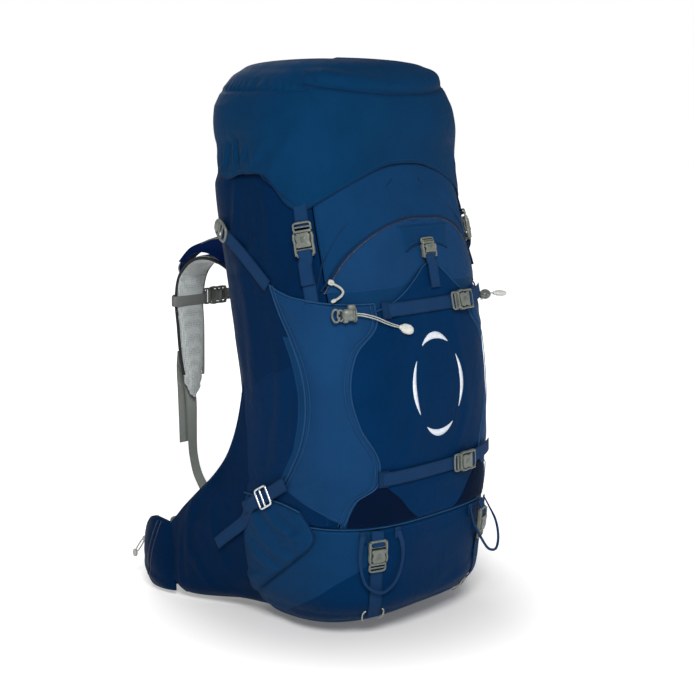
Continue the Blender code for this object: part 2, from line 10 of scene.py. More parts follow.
import bpy
import numpy as np
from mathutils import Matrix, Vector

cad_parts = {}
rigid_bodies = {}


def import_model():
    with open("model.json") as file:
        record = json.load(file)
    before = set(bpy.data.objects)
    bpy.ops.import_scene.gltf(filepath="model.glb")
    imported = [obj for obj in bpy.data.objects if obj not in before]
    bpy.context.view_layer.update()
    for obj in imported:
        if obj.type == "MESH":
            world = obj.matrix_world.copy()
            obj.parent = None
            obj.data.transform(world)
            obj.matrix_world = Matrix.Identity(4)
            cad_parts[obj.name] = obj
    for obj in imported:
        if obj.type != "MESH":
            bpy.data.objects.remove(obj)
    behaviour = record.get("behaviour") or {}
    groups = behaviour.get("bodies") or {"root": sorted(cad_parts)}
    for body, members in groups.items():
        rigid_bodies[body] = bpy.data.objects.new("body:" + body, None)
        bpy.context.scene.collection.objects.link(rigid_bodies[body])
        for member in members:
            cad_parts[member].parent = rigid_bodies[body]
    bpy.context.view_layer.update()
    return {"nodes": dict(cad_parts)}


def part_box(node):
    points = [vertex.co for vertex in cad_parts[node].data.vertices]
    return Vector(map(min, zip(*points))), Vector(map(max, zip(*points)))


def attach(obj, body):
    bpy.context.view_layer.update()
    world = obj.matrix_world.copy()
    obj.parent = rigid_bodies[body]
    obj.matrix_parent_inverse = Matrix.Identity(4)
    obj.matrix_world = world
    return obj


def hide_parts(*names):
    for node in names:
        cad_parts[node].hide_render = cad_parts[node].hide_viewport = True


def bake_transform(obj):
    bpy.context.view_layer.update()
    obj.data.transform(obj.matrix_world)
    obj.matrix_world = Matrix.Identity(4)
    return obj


for leftover in list(bpy.data.objects):
    bpy.data.objects.remove(leftover, do_unlink=True)
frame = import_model()

MM = 0.001

# ---- driving sizes ------------------------------------------------------------------------------
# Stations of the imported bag: height, half width, front face, back face, squareness of the outline.
BODY = [
    (0.000, 0.105, -0.115, 0.075, 2.4),
    (0.012, 0.140, -0.150, 0.095, 2.5),
    (0.040, 0.164, -0.172, 0.108, 2.8),
    (0.100, 0.178, -0.182, 0.114, 3.0),
    (0.180, 0.183, -0.184, 0.112, 3.1),
    (0.260, 0.184, -0.182, 0.104, 3.2),
    (0.360, 0.185, -0.178, 0.106, 3.2),
    (0.460, 0.185, -0.163, 0.120, 3.2),
    (0.540, 0.183, -0.145, 0.140, 3.1),
    (0.600, 0.181, -0.130, 0.156, 3.0),
    (0.660, 0.178, -0.118, 0.166, 3.0),
    (0.710, 0.172, -0.112, 0.168, 3.0),
]
LID = [
    (0.600, 0.181, -0.128, 0.156, 3.0),
    (0.660, 0.182, -0.117, 0.166, 3.1),
    (0.700, 0.182, -0.114, 0.168, 3.1),
    (0.740, 0.180, -0.113, 0.167, 3.1),
    (0.770, 0.174, -0.109, 0.162, 3.0),
    (0.795, 0.162, -0.098, 0.152, 2.9),
    (0.815, 0.142, -0.080, 0.138, 2.8),
    (0.828, 0.110, -0.055, 0.115, 2.6),
    (0.835, 0.060, -0.015, 0.075, 2.3),
]
BOOT_TOP = 0.172
PANEL_TOP = 0.660
LID_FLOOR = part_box("lid_shell")[0].z + 0.090
FRONT_EDGE = 56.0
BACK_EDGE = 128.0
WEB = 20 * MM
SIDES = (("left", -1), ("right", 1))
TARGET = (0.0, 0.0, 0.40)
ROUND = 0.172    # radius by which lengths round the bag are counted


# ---- camera, light and floor --------------------------------------------------------------------
def look_from(azimuth, elevation, distance, target):
    a, e = math.radians(azimuth), math.radians(elevation)
    back = np.array([math.sin(a) * math.cos(e), -math.cos(a) * math.cos(e), math.sin(e)])
    return np.array(target) + back * distance


def aimed(obj, place, target):
    from mathutils import Vector
    obj.location = place
    obj.rotation_euler = (Vector(target) - Vector(place)).to_track_quat("-Z", "Y").to_euler()
    bpy.context.scene.collection.objects.link(obj)


def make_camera():
    data = bpy.data.cameras.new("camera")
    data.sensor_width, data.lens = 36.0, 70.8
    camera = bpy.data.objects.new("camera", data)
    aimed(camera, look_from(-45, 10, 2.1, TARGET), TARGET)
    bpy.context.scene.camera = camera


def make_light(name, azimuth, elevation, distance, size, watts):
    data = bpy.data.lights.new(name, "AREA")
    data.shape, data.size, data.energy = "DISK", size, watts
    lamp = bpy.data.objects.new(name, data)
    aimed(lamp, look_from(azimuth, elevation, distance, TARGET), TARGET)


def make_studio():
    make_light("key", -40, 36, 2.6, 1.0, 62)
    make_light("fill", 60, 15, 3.4, 2.6, 6)
    make_light("rim", 165, 32, 3.2, 2.4, 26)
    bpy.context.scene.view_settings.view_transform = "Standard"
    world = bpy.data.worlds.new("studio")
    bpy.context.scene.world = world
    world.use_nodes = True
    tree = world.node_tree
    back = tree.nodes["Background"]
    back.inputs["Color"].default_value = (1, 1, 1, 1)
    back.inputs["Strength"].default_value = 0.21
    white = node(tree, "Background", {"Color": (1, 1, 1, 1), "Strength": 1.0})
    blend = node(tree, "MixShader", {0: node(tree, "LightPath").outputs["Is Camera Ray"], 1: back.outputs[0],
                                     2: white.outputs[0]})
    tree.links.new(blend.outputs[0], tree.nodes["World Output"].inputs["Surface"])
    reach, steps = 14.0, 24
    side = np.linspace(-reach, reach, steps)
    x, y = np.meshgrid(side, side)
    points = np.stack([x, y, 0 * x - 0.0005], -1)
    floor = bpy.data.objects.new("floor", grid_mesh("floor", points))
    bpy.context.scene.collection.objects.link(floor)
    paper = plain("floor_paper", (0.80, 0.795, 0.785), 0.95)
    paper.node_tree.nodes["Principled BSDF"].inputs["Emission Color"].default_value = (1, 1, 1, 1)
    tree = paper.node_tree
    away = node(tree, "VectorMath", {0: node(tree, "TexCoord").outputs["Object"]},
                operation="LENGTH").outputs["Value"]
    # Floor emission rises from 0.12 within 0.16 m of the middle to 0.63 by 0.44 m: a painted contact shadow
    # round the bag's foot.
    contact_shadow = node(tree, "MapRange", {"Value": away, "From Min": 0.16, "From Max": 0.44, "To Min": 0.12,
                                   "To Max": 0.63},
                interpolation_type="SMOOTHSTEP")
    far = node(tree, "MapRange", {"Value": away, "From Min": 0.45, "From Max": 2.4, "To Min": 0.0,
                                  "To Max": 0.34},
               interpolation_type="SMOOTHSTEP")
    tree.links.new(sums(tree, "ADD", contact_shadow.outputs[0], far.outputs[0]),
                   tree.nodes["Principled BSDF"].inputs["Emission Strength"])
    floor.data.materials.append(paper)


def hill(x, middle, width):
    """Bell exp(-((x - middle) / width)^2)."""
    return np.exp(-((x - middle) / width) ** 2)


def ramp(x, start, length):
    """0 before the start, rising evenly to 1 over the length."""
    return np.clip((x - start) / length, 0, 1)


def fall(x, end, length):
    """1, dropping evenly over the length to 0 at the end."""
    return np.clip((end - x) / length, 0, 1)


def mm(*sizes):
    return tuple(size * MM for size in sizes)


# ---- curves and surfaces ------------------------------------------------------------------------
def smooth(x, xs, ys):
    """Cubic Hermite curve through the stations, with the slopes of their neighbours."""
    xs, ys = np.asarray(xs, float), np.asarray(ys, float)
    slope = np.gradient(ys, xs)
    x = np.clip(x, xs[0], xs[-1])
    i = np.clip(np.searchsorted(xs, x) - 1, 0, len(xs) - 2)
    h = xs[i + 1] - xs[i]
    t = (x - xs[i]) / h
    rise = t * t * (3 - 2 * t)
    lead = t * (1 - t) ** 2 * h * slope[i]
    tail = -t * t * (1 - t) * h * slope[i + 1]
    return ys[i] + rise * (ys[i + 1] - ys[i]) + lead + tail


def through(points, count):
    """Smooth curve through given points, in even steps of their chord length."""
    points = np.asarray(points, float)
    s = np.concatenate([[0], np.cumsum(np.linalg.norm(np.diff(points, axis=0), axis=1) + 1e-5)])
    at = np.linspace(0, s[-1], count)
    return np.stack([smooth(at, s, points[:, i]) for i in range(points.shape[1])], 1)


def bare_skin(table, bearing, z):
    """Superellipse of the stations at height z: r = (|sin b / half|^n + |cos b / depth|^n)^(-1/n).
    The bag's foot is turned up in front by 21 mm x exp(-(b / 62)^2), fading out by a height of 0.10."""
    columns = np.array(table).T
    half, front, back, square = (smooth(z, columns[0], c) for c in columns[1:])
    a = np.radians(bearing)
    depth = (back - front) / 2
    r = (np.abs(np.sin(a) / half) ** square + np.abs(np.cos(a) / depth) ** square) ** (-1 / square)
    turned = (bearing + 180) % 360 - 180
    foot = 21 * MM * np.exp(-(turned / 62) ** 2) * np.clip(1 - z / 0.10, 0, 1) ** 2 * (table is BODY)
    return np.stack([r * np.sin(a), (front + back) / 2 - r * np.cos(a), z + foot + 0 * a], -1)


def normals(table, bearing, z):
    """Outward unit normals: the cross product of the tangents along bearing and height."""
    low, high = table[0][0], table[-1][0]
    across = bare_skin(table, bearing + 0.2, z) - bare_skin(table, bearing - 0.2, z)
    up = (bare_skin(table, bearing, np.minimum(z + 0.5 * MM, high))
          - bare_skin(table, bearing, np.maximum(z - 0.5 * MM, low)))
    n = np.cross(across, up)
    return n / np.linalg.norm(n, axis=-1, keepdims=True)


def skin(table, bearing, z, out=0.0):
    """Points of the bag's skin, pushed out along its normal."""
    bearing, z, out = np.broadcast_arrays(*(np.asarray(v, float) for v in (bearing, z, out)))
    return bare_skin(table, bearing, z) + normals(table, bearing, z) * out[..., None]


def ripple(u, v, size, seed):
    """Soft random unevenness between about -1 and 1: sines of random direction in four octaves."""
    rng = np.random.default_rng(seed)
    total = 0 * u
    for octave in range(4):
        for _ in range(5):
            turn, start = rng.uniform(0, 2 * np.pi, 2)
            k = 2 * np.pi * 2 ** octave / size
            total = total + np.sin(k * (u * np.cos(turn) + v * np.sin(turn)) + start) / 2 ** octave
    return total / 5


def crease(u, v, at, angle, length, width, height, bend=0.0):
    """One fold of cloth: a ridge exp(-(across/width)^2) that fades along its length."""
    a = math.radians(angle)
    du, dv = u - at[0], v - at[1]
    along = du * math.cos(a) + dv * math.sin(a)
    across = -du * math.sin(a) + dv * math.cos(a) - bend * along ** 2 / max(length, 1e-6)
    ridge = np.exp(-(across / width) ** 2) - 0.55 * np.exp(-((across - 1.7 * width) / width) ** 2)
    return height * ridge * np.exp(-(along / length) ** 4)


def spread(bearing):
    """Length round the bag for a bearing, so that folds and weave keep their size."""
    return np.asarray(bearing) * math.pi / 180 * ROUND


# ---- meshes -------------------------------------------------------------------------------------
def quads_of(rows, cols, wrap=False, start=0, ring=False):
    """Faces of a grid of points, rows by cols, joined round when wrap is set and end to end when ring is."""
    index = start + np.arange(rows * cols).reshape(rows, cols)
    if wrap:
        index = np.concatenate([index, index[:, :1]], 1)
    if ring:
        index = np.concatenate([index, index[:1]], 0)
    a, b, c, d = index[:-1, :-1], index[:-1, 1:], index[1:, 1:], index[1:, :-1]
    return np.stack([a, b, c, d], -1).reshape(-1, 4)


def build_mesh(name, points, faces, uv=None, seam=None, fixed=False):
    """Mesh from points and arrays of faces, with its two maps. Faces turn outwards unless they are fixed."""
    points = np.asarray(points, float).reshape(-1, 3)
    faces = [f for f in (np.asarray(part, int) for part in faces) if len(f)]
    if not fixed:
        points, faces, _ = facing_out((points, faces, None))
    mesh = bpy.data.meshes.new(name)
    mesh.from_pydata(points.tolist(), [], [row for f in faces for row in f.tolist()])
    corner = np.zeros(len(mesh.loops), int)
    mesh.loops.foreach_get("vertex_index", corner)
    for layer, values in (("cloth", uv), ("seam", seam)):
        if values is not None:
            flat = np.asarray(values, float).reshape(-1, 2)
            flat = np.concatenate([flat, np.zeros((max(0, len(points) - len(flat)), 2))])
            mesh.uv_layers.new(name=layer).data.foreach_set("uv", flat[corner].ravel())
    mesh.polygons.foreach_set("use_smooth", np.ones(len(mesh.polygons), bool))
    mesh.update()
    return mesh


def grid_mesh(name, points):
    rows, cols = points.shape[:2]
    return build_mesh(name, points, [quads_of(rows, cols)])


def piece(name, mesh, finish, body, slot=None, own=None):
    """A finished object on its body; the slot argument is not used. It also stands for the node that own
    names.
    """
    obj = bpy.data.objects.new(name, mesh)
    bpy.context.scene.collection.objects.link(obj)
    mesh.materials.append(FINISH[finish])
    if body:
        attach(obj, body)
    if own:
        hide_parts(own)
    return obj


def edge_distance(points):
    """For each point of a grid, metres to its nearest edge, and the length run along that edge."""
    def reach(p):
        step = np.linalg.norm(np.diff(p, axis=1), axis=2)
        run = np.concatenate([np.zeros((len(p), 1)), np.cumsum(step, axis=1)], 1)
        return run, np.minimum(run, run[:, -1:] - run)

    along, across = reach(points)
    up, down = (v.T for v in reach(points.swapaxes(0, 1)))
    return np.minimum(across, down), np.where(across < down, up, along)


def slab(outer, inner, wrap=False):
    """Closed sheet of cloth: the outer grid, the inner grid and the strips that join their edges."""
    rows, cols = outer.shape[:2]
    count = rows * cols
    top, under = quads_of(rows, cols, wrap), quads_of(rows, cols, wrap, count)[:, ::-1]
    index = np.arange(count).reshape(rows, cols)
    if wrap:
        index = np.concatenate([index, index[:, :1]], 1)
    rims = [index[0][::-1], index[-1]]
    if not wrap:
        rims += [index[:, 0], index[::-1, -1]]
    strips = [np.stack([e[:-1], e[:-1] + count, e[1:] + count, e[1:]], 1)[:, ::-1] for e in rims]
    return np.concatenate([outer.reshape(-1, 3), inner.reshape(-1, 3)]), [top, under] + strips


def sewn(name, outer, inner, uv, seam, finish, body, wrap=False, **place):
    """A piece of cloth between two grids, with its weave map and, where it has one, its seam map."""
    points, faces = slab(outer, inner, wrap)
    far = np.full((2 * uv.shape[0] * uv.shape[1], 2), 0.5)
    seams = far if seam is None else np.concatenate([seam, seam + 0.5])
    mesh = build_mesh(name, points, faces, np.concatenate([uv, uv]), seams)
    return piece(name, mesh, finish, body, **place)


def drawn(edge, count):
    """Points (bearing, height) of a drawn panel edge, smooth, in even steps."""
    scaled = np.array(edge, float) * [1 / 330.0, 1.0]
    return through(scaled, count) * [330.0, 1.0]


def panel_grid(left, right, rows, cols):
    """Bearings and heights of a panel ruled from its left edge to its right edge, both from below."""
    a, b = drawn(left, rows), drawn(right, rows)
    u = np.linspace(0, 1, cols)
    return a[:, :1] + (b - a)[:, :1] * u, a[:, 1:] + (b - a)[:, 1:] * u


def mirror_edges(left, right, sign):
    """The edges as drawn for the left side, or their mirror image for the right side."""
    if sign < 0:
        return left, right
    return [(-b, z) for b, z in right], [(-b, z) for b, z in left]


def relief(bearing, z):
    """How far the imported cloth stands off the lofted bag: lumps of the load, and drawn in at the mouth."""
    u = spread(bearing)
    b = np.abs((bearing + 180) % 360 - 180)
    side = ramp(b, 78, 20) * fall(b, 172, 18)
    slack = 4.5 * MM * np.exp(-((b - 128) / 24) ** 2 - ((z - 0.30) / 0.13) ** 2)
    slack = slack + 3.2 * MM * hill(b, 54, 15) * fall(z, 0.53, 0.05) * ramp(z, 0.12, 0.06)
    mouth = 3.2 * MM * ramp(z, 0.668, 0.026) * (1 - side) + 9 * MM * side * ramp(z, 0.652, 0.030)
    return 1.1 * MM * ripple(u, z, 0.33, 11) + 0.35 * MM * ripple(u, z, 0.09, 5) - mouth - slack


def panel(name, left, right, finish, lift=1.5 * MM, puff=2.0 * MM, roll=3.0 * MM, rows=60, cols=60,
          swell=28 * MM, folds=None, low=-1.2 * MM, depth=None, bow=(0, 0), **place):
    """Sewn-on cloth panel. out = relief + low + (lift - low)(1 - exp(-d/roll)) + puff(1 - exp(-(d/swell)^2)),
    where d is the distance to the panel's edge, so the edge rolls in and the middle crowns. bow bends
    the bottom and top edges by that much in their middle."""
    bearing, z = panel_grid(left, right, rows, cols)
    u, v = np.meshgrid(np.linspace(0, 1, cols), np.linspace(0, 1, rows))
    z = z + 4 * u * (1 - u) * (bow[0] * (1 - v) ** 3 + bow[1] * v ** 3)
    d, along = edge_distance(skin(BODY, bearing, z))
    ground = relief(bearing, z)
    out = ground + low + (lift - low) * (1 - np.exp(-d / roll)) + puff * (1 - np.exp(-(d / swell) ** 2))
    if folds is not None:
        out = out + folds(spread(bearing), z) * np.clip(d / (8 * MM), 0, 1)
    inner = skin(BODY, bearing, z, ground + low - 1.2 * MM if depth is None else depth)
    return sewn(name, skin(BODY, bearing, z, out), inner, np.stack([spread(bearing), z], -1),
                np.stack([along, d], -1), finish, "pack", **place)


def frames(path, up, closed):
    """Unit directions along a path, to its side and up from it."""
    along = np.roll(path, -1, 0) - np.roll(path, 1, 0) if closed else np.gradient(path, axis=0)
    along /= np.linalg.norm(along, axis=1, keepdims=True)
    side = np.cross(along, np.broadcast_to(np.asarray(up, float), path.shape))
    side /= np.linalg.norm(side, axis=1, keepdims=True)
    return side, np.cross(side, along)


def carried(path, up, profile, scale=None, closed=False):
    """A closed profile (side, up) carried along a path: points, faces and the cloth map in metres."""
    path, profile = np.asarray(path, float), np.asarray(profile, float)
    side, high = frames(path, up, closed)
    if profile.ndim == 2:
        profile = np.broadcast_to(profile, (len(path),) + profile.shape)
    if scale is not None:
        profile = profile * np.asarray(scale, float).reshape(len(path), 1, -1)
    rings = path[:, None] + side[:, None] * profile[..., :1] + high[:, None] * profile[..., 1:]
    count, turn = rings.shape[:2]
    length = np.concatenate([[0], np.cumsum(np.linalg.norm(np.diff(path, axis=0), axis=1))])
    uv = np.stack([profile[..., 0], np.broadcast_to(length[:, None], (count, turn))], -1).reshape(-1, 2)
    if closed:
        return rings.reshape(-1, 3), [quads_of(count, turn, wrap=True, ring=True)], uv
    points, faces, _ = capped(rings, np.stack([rings[0].mean(0), rings[-1].mean(0)]))
    return points, faces, uv


def strand(name, path, up, profile, finish, body, scale=None, closed=False, **place):
    """A profile carried along a path, as a piece of its own."""
    return piece(name, build_mesh(name, *carried(path, up, profile, scale, closed)), finish, body, **place)


def joined(parts):
    """Several (points, faces, map) bodies as one mesh's worth."""
    points, faces, maps, start = [], [], [], 0
    for p, fs, m in parts:
        m = np.concatenate([m, np.zeros((len(p) - len(m), 2))])
        points.append(p)
        maps.append(m)
        faces += [f + start for f in fs]
        start += len(p)
    return np.concatenate(points), faces, np.concatenate(maps)


def bent(v, power):
    """A sine or cosine raised to a power with its sign kept: the coordinate of a superellipse."""
    return np.sign(v) * np.abs(v) ** power


def oblong(width, height, power=4.0, count=20):
    """Superellipse profile of a strap: |2x/width|^p + |2y/height|^p = 1."""
    a = np.linspace(0, 2 * np.pi, count, endpoint=False)
    return np.stack([width / 2 * bent(np.cos(a), 2 / power), height / 2 * bent(np.sin(a), 2 / power)], -1)


def lump(centre, half, power=2.6, rows=9, cols=16, axes=None):
    """Rounded block, a superellipsoid: each direction of a sphere's grid raised to the power 2/p."""
    t = np.linspace(-np.pi / 2, np.pi / 2, rows)[1:-1, None]
    a = np.linspace(0, 2 * np.pi, cols, endpoint=False)
    level, height = bent(np.cos(t), 2 / power), bent(np.sin(t), 2 / power)
    unit = np.stack([level * bent(np.cos(a), 2 / power), level * bent(np.sin(a), 2 / power), height + 0 * a],
                    -1)
    axes = np.eye(3) if axes is None else np.asarray(axes, float)
    rings = np.asarray(centre, float) + (unit * np.asarray(half, float)) @ axes
    poles = np.asarray(centre, float) + np.array([[0, 0, -1.0], [0, 0, 1.0]]) * half[2] @ axes
    return capped(rings, poles)


def capped(rings, poles):
    """Closed body through rings of points, ended by two poles."""
    count, turn = rings.shape[:2]
    index = np.arange(count * turn).reshape(count, turn)
    index = np.concatenate([index, index[:, :1]], 1)
    first, last = count * turn, count * turn + 1
    ends = [np.stack([np.full(turn, first), index[0, 1:], index[0, :-1]], 1),
            np.stack([np.full(turn, last), index[-1, :-1], index[-1, 1:]], 1)]
    points = np.concatenate([rings.reshape(-1, 3), poles])
    return points, [quads_of(count, turn, wrap=True)] + ends, np.zeros((len(points), 2))


def facing_out(part):
    """The same closed body with its faces turned outwards, by the sign of its volume."""
    points, faces, uv = part
    fans = np.concatenate([f[:, [0, i, i + 1]] for f in faces for i in range(1, f.shape[1] - 1)])
    a, b, c = (points[fans[:, i]] for i in range(3))
    if np.einsum("ij,ij->", a - points.mean(0), np.cross(b - points.mean(0), c - points.mean(0))) < 0:
        faces = [f[:, ::-1] for f in faces]
    return points, faces, uv


def assemble(name, parts, finish, body, **place):
    """Several closed bodies as one piece."""
    points, faces, uv = joined([facing_out(p) for p in parts])
    return piece(name, build_mesh(name, points, faces, uv, fixed=True), finish, body, **place)


# ---- finishes -----------------------------------------------------------------------------------
def node(tree, kind, sockets=(), **settings):
    """A shader node with its settings, and its sockets filled by values or by other sockets."""
    made = tree.nodes.new("ShaderNode" + kind)
    for key, value in settings.items():
        setattr(made, key, value)
    for key, value in dict(sockets).items():
        if isinstance(value, bpy.types.NodeSocket):
            tree.links.new(value, made.inputs[key])
        else:
            made.inputs[key].default_value = value
    return made


def sums(tree, operation, a, b=0.0, c=0.0, clamp=False):
    """The output of one Math node."""
    return node(tree, "Math", {0: a, 1: b, 2: c}, operation=operation, use_clamp=clamp).outputs[0]


def group(name, inputs, outputs):
    """An empty node group with named sockets. Returns its tree, its input node and its output node."""
    tree = bpy.data.node_groups.new(name, "ShaderNodeTree")
    for label, kind, value in inputs:
        socket = tree.interface.new_socket(name=label, in_out="INPUT", socket_type="NodeSocket" + kind)
        if value is not None:
            socket.default_value = value
    for label, kind in outputs:
        tree.interface.new_socket(name=label, in_out="OUTPUT", socket_type="NodeSocket" + kind)
    return tree, tree.nodes.new("NodeGroupInput"), tree.nodes.new("NodeGroupOutput")


def weave_group():
    """Plain weave with a heavier ripstop thread: sin(pi u) sin(pi v) bumps, and every tenth thread raised.
    The second output, 0.94 + 0.10 height, darkens the cloth where the weave is low: painted shade between the
    threads.
    """
    tree, given, made = group("weave", [("Vector", "Vector", None), ("Thread", "Float", 0.0006),
                                        ("Rip", "Float", 0.4)], [("Height", "Float"), ("PaintedShade", "Float")])
    split = node(tree, "SeparateXYZ", {0: given.outputs["Vector"]})
    waves, grids = [], []
    for axis in (0, 1):
        turns = sums(tree, "DIVIDE", split.outputs[axis], given.outputs["Thread"])
        waves.append(sums(tree, "SINE", sums(tree, "MULTIPLY", turns, math.pi)))
        tenth = sums(tree, "FRACT", sums(tree, "DIVIDE", turns, 10.0))
        grids.append(sums(tree, "LESS_THAN", tenth, 0.12))
    cross = sums(tree, "MULTIPLY", waves[0], waves[1])
    grid = sums(tree, "MULTIPLY", sums(tree, "MAXIMUM", grids[0], grids[1]), given.outputs["Rip"])
    height = sums(tree, "ADD", sums(tree, "MULTIPLY_ADD", cross, 0.5, 0.5), grid)
    tree.links.new(height, made.inputs["Height"])
    tree.links.new(sums(tree, "MULTIPLY_ADD", height, 0.10, 0.94), made.inputs["PaintedShade"])
    return tree


def tone_group():
    """Uneven dye and handling: soft patches, long faint streaks and fine flecks, as one 0 to 1 mask."""
    tree, given, made = group("tone", [("Vector", "Vector", None), ("Patch", "Float", 9.0),
                                       ("Streak", "Float", 0.3)], [("Mask", "Float"), ("Crumple", "Float")])
    patch = node(tree, "TexNoise", {"Vector": given.outputs["Vector"], "Scale": given.outputs["Patch"],
                                    "Detail": 5.0, "Roughness": 0.6})
    squeezed = node(tree, "Mapping", {"Vector": given.outputs["Vector"], "Scale": (1.0, 1.0, 0.12)})
    streak = node(tree, "TexNoise", {"Vector": squeezed.outputs[0], "Scale": 90.0, "Detail": 3.0})
    crumple = node(tree, "TexNoise", {"Vector": given.outputs["Vector"], "Scale": 42.0, "Detail": 4.0,
                                      "Roughness": 0.55, "Distortion": 0.7})
    mix = sums(tree, "MULTIPLY", sums(tree, "SUBTRACT", streak.outputs[0], 0.5), given.outputs["Streak"])
    mask = sums(tree, "ADD", sums(tree, "MULTIPLY_ADD", patch.outputs[0], 2.2, -0.6), mix, clamp=True)
    tree.links.new(mask, made.inputs["Mask"])
    tree.links.new(crumple.outputs[0], made.inputs["Crumple"])
    return tree


def stitch_group():
    """Sewn line along an edge: dashes of thread where the distance to the edge is near the inset."""
    tree, given, made = group("stitching", [("Seam", "Vector", None), ("Inset", "Float", 0.004),
                                            ("Pitch", "Float", 0.0032)],
                              [("Mask", "Float"), ("Height", "Float")])
    split = node(tree, "SeparateXYZ", {0: given.outputs["Seam"]})
    off = sums(tree, "ABSOLUTE", sums(tree, "SUBTRACT", split.outputs[1], given.outputs["Inset"]))
    line = sums(tree, "SUBTRACT", 1.0, sums(tree, "DIVIDE", off, 0.00045), clamp=True)
    beat = sums(tree, "FRACT", sums(tree, "DIVIDE", split.outputs[0], given.outputs["Pitch"]))
    dash = sums(tree, "LESS_THAN", beat, 0.7)
    mask = sums(tree, "MULTIPLY", line, dash)
    trough = sums(tree, "SUBTRACT", 1.0, sums(tree, "DIVIDE", off, 0.0022), clamp=True)
    tree.links.new(mask, made.inputs["Mask"])
    tree.links.new(sums(tree, "MULTIPLY_ADD", trough, -0.8, mask), made.inputs["Height"])
    return tree


def grain_group():
    """Moulded grain and scuffs: fine noise for the bump, and a mask of rubbed spots."""
    tree, given, made = group("grain", [("Vector", "Vector", None), ("Scale", "Float", 900.0)],
                              [("Height", "Float"), ("Rubbed", "Float")])
    fine = node(tree, "TexNoise", {"Vector": given.outputs["Vector"], "Scale": given.outputs["Scale"],
                                   "Detail": 3.0})
    spots = node(tree, "TexNoise", {"Vector": given.outputs["Vector"], "Scale": 140.0, "Detail": 5.0,
                                    "Roughness": 0.7})
    tree.links.new(fine.outputs[0], made.inputs["Height"])
    tree.links.new(sums(tree, "MULTIPLY_ADD", spots.outputs[0], 5.0, -2.4, clamp=True),
                   made.inputs["Rubbed"])
    return tree


GROUPS = {"weave": weave_group(), "tone": tone_group(), "stitching": stitch_group(), "grain": grain_group()}


def placed(tree, name, **values):
    return node(tree, "Group", values, node_tree=GROUPS[name]).outputs


def mixed(tree, factor, a, b):
    """Colour a turning into b as the factor goes from 0 to 1. Either is a colour or a socket."""
    a, b = (c if isinstance(c, bpy.types.NodeSocket) else (*c, 1.0) for c in (a, b))
    return node(tree, "Mix", {0: factor, 6: a, 7: b}, data_type="RGBA").outputs[2]


def material(name, rough, metal=0.0, sheen=0.0, tint=(1, 1, 1)):
    """A material with its Principled shader. Returns it, its tree and the shader."""
    made = bpy.data.materials.new(name)
    made.use_nodes = True
    shader = made.node_tree.nodes["Principled BSDF"]
    shader.inputs["Roughness"].default_value = rough
    shader.inputs["Metallic"].default_value = metal
    shader.inputs["Sheen Weight"].default_value = sheen
    shader.inputs["Sheen Roughness"].default_value = 0.4
    shader.inputs["Sheen Tint"].default_value = (*tint, 1.0)
    return made, made.node_tree, shader


def raised(tree, shader, layers):
    """Chained bumps: (height socket, depth in metres) from the broadest to the finest."""
    normal = None
    for height, depth in layers:
        bump = node(tree, "Bump", {"Height": height, "Distance": depth, "Strength": 1.0})
        if normal:
            tree.links.new(normal, bump.inputs["Normal"])
        normal = bump.outputs[0]
    tree.links.new(normal, shader.inputs["Normal"])


def plain(name, colour, rough):
    made, _, shader = material(name, rough)
    shader.inputs["Base Color"].default_value = (*colour, 1.0)
    return made


def shade(colour, factor):
    return tuple(c * factor for c in colour)


def cloth(name, colour, rough=0.55, thread=0.7 * MM, rip=0.35, flat=True):
    """Coated pack nylon: weave with painted shade in its low points, ripstop grid, uneven dye, a sewn line
    inside the edge and a faint sheen.
    """
    made, tree, shader = material(name, rough, sheen=0.02, tint=(0.2, 0.5, 1.0))
    shader.inputs["Specular IOR Level"].default_value = 0.03
    shader.inputs["Specular Tint"].default_value = (0.10, 0.45, 1.0, 1.0)
    place = node(tree, "TexCoord").outputs["Object"]
    threads = node(tree, "UVMap", uv_map="cloth").outputs[0] if flat else place
    seam = node(tree, "UVMap", uv_map="seam").outputs[0]
    woven = placed(tree, "weave", Vector=threads, Thread=thread, Rip=rip)
    worn = placed(tree, "tone", Vector=place)
    base = mixed(tree, worn["Mask"], shade(colour, 0.86), shade(colour, 1.13))
    # Painted shade: where the weave is low the colour is drawn towards half its value.
    base = mixed(tree, woven["PaintedShade"], shade(colour, 0.5), base)
    layers = [(worn["Crumple"], 1.6 * MM)]
    if flat:
        sewn = placed(tree, "stitching", Seam=seam, Inset=4 * MM)
        base = mixed(tree, sewn["Mask"], base, shade(colour, 2.4))
        edge = node(tree, "SeparateXYZ", {0: seam}).outputs[1]
        rubbed = sums(tree, "SUBTRACT", 1.0, sums(tree, "DIVIDE", edge, 0.0022), clamp=True)
        base = mixed(tree, sums(tree, "MULTIPLY", rubbed, 0.35), base, shade(colour, 1.9))
        layers.append((sewn["Height"], 0.5 * MM))
    tree.links.new(base, shader.inputs["Base Color"])
    tree.links.new(sums(tree, "MULTIPLY_ADD", worn["Mask"], 0.16, rough - 0.08), shader.inputs["Roughness"])
    raised(tree, shader, layers + [(woven["Height"], 0.10 * MM)])
    return made


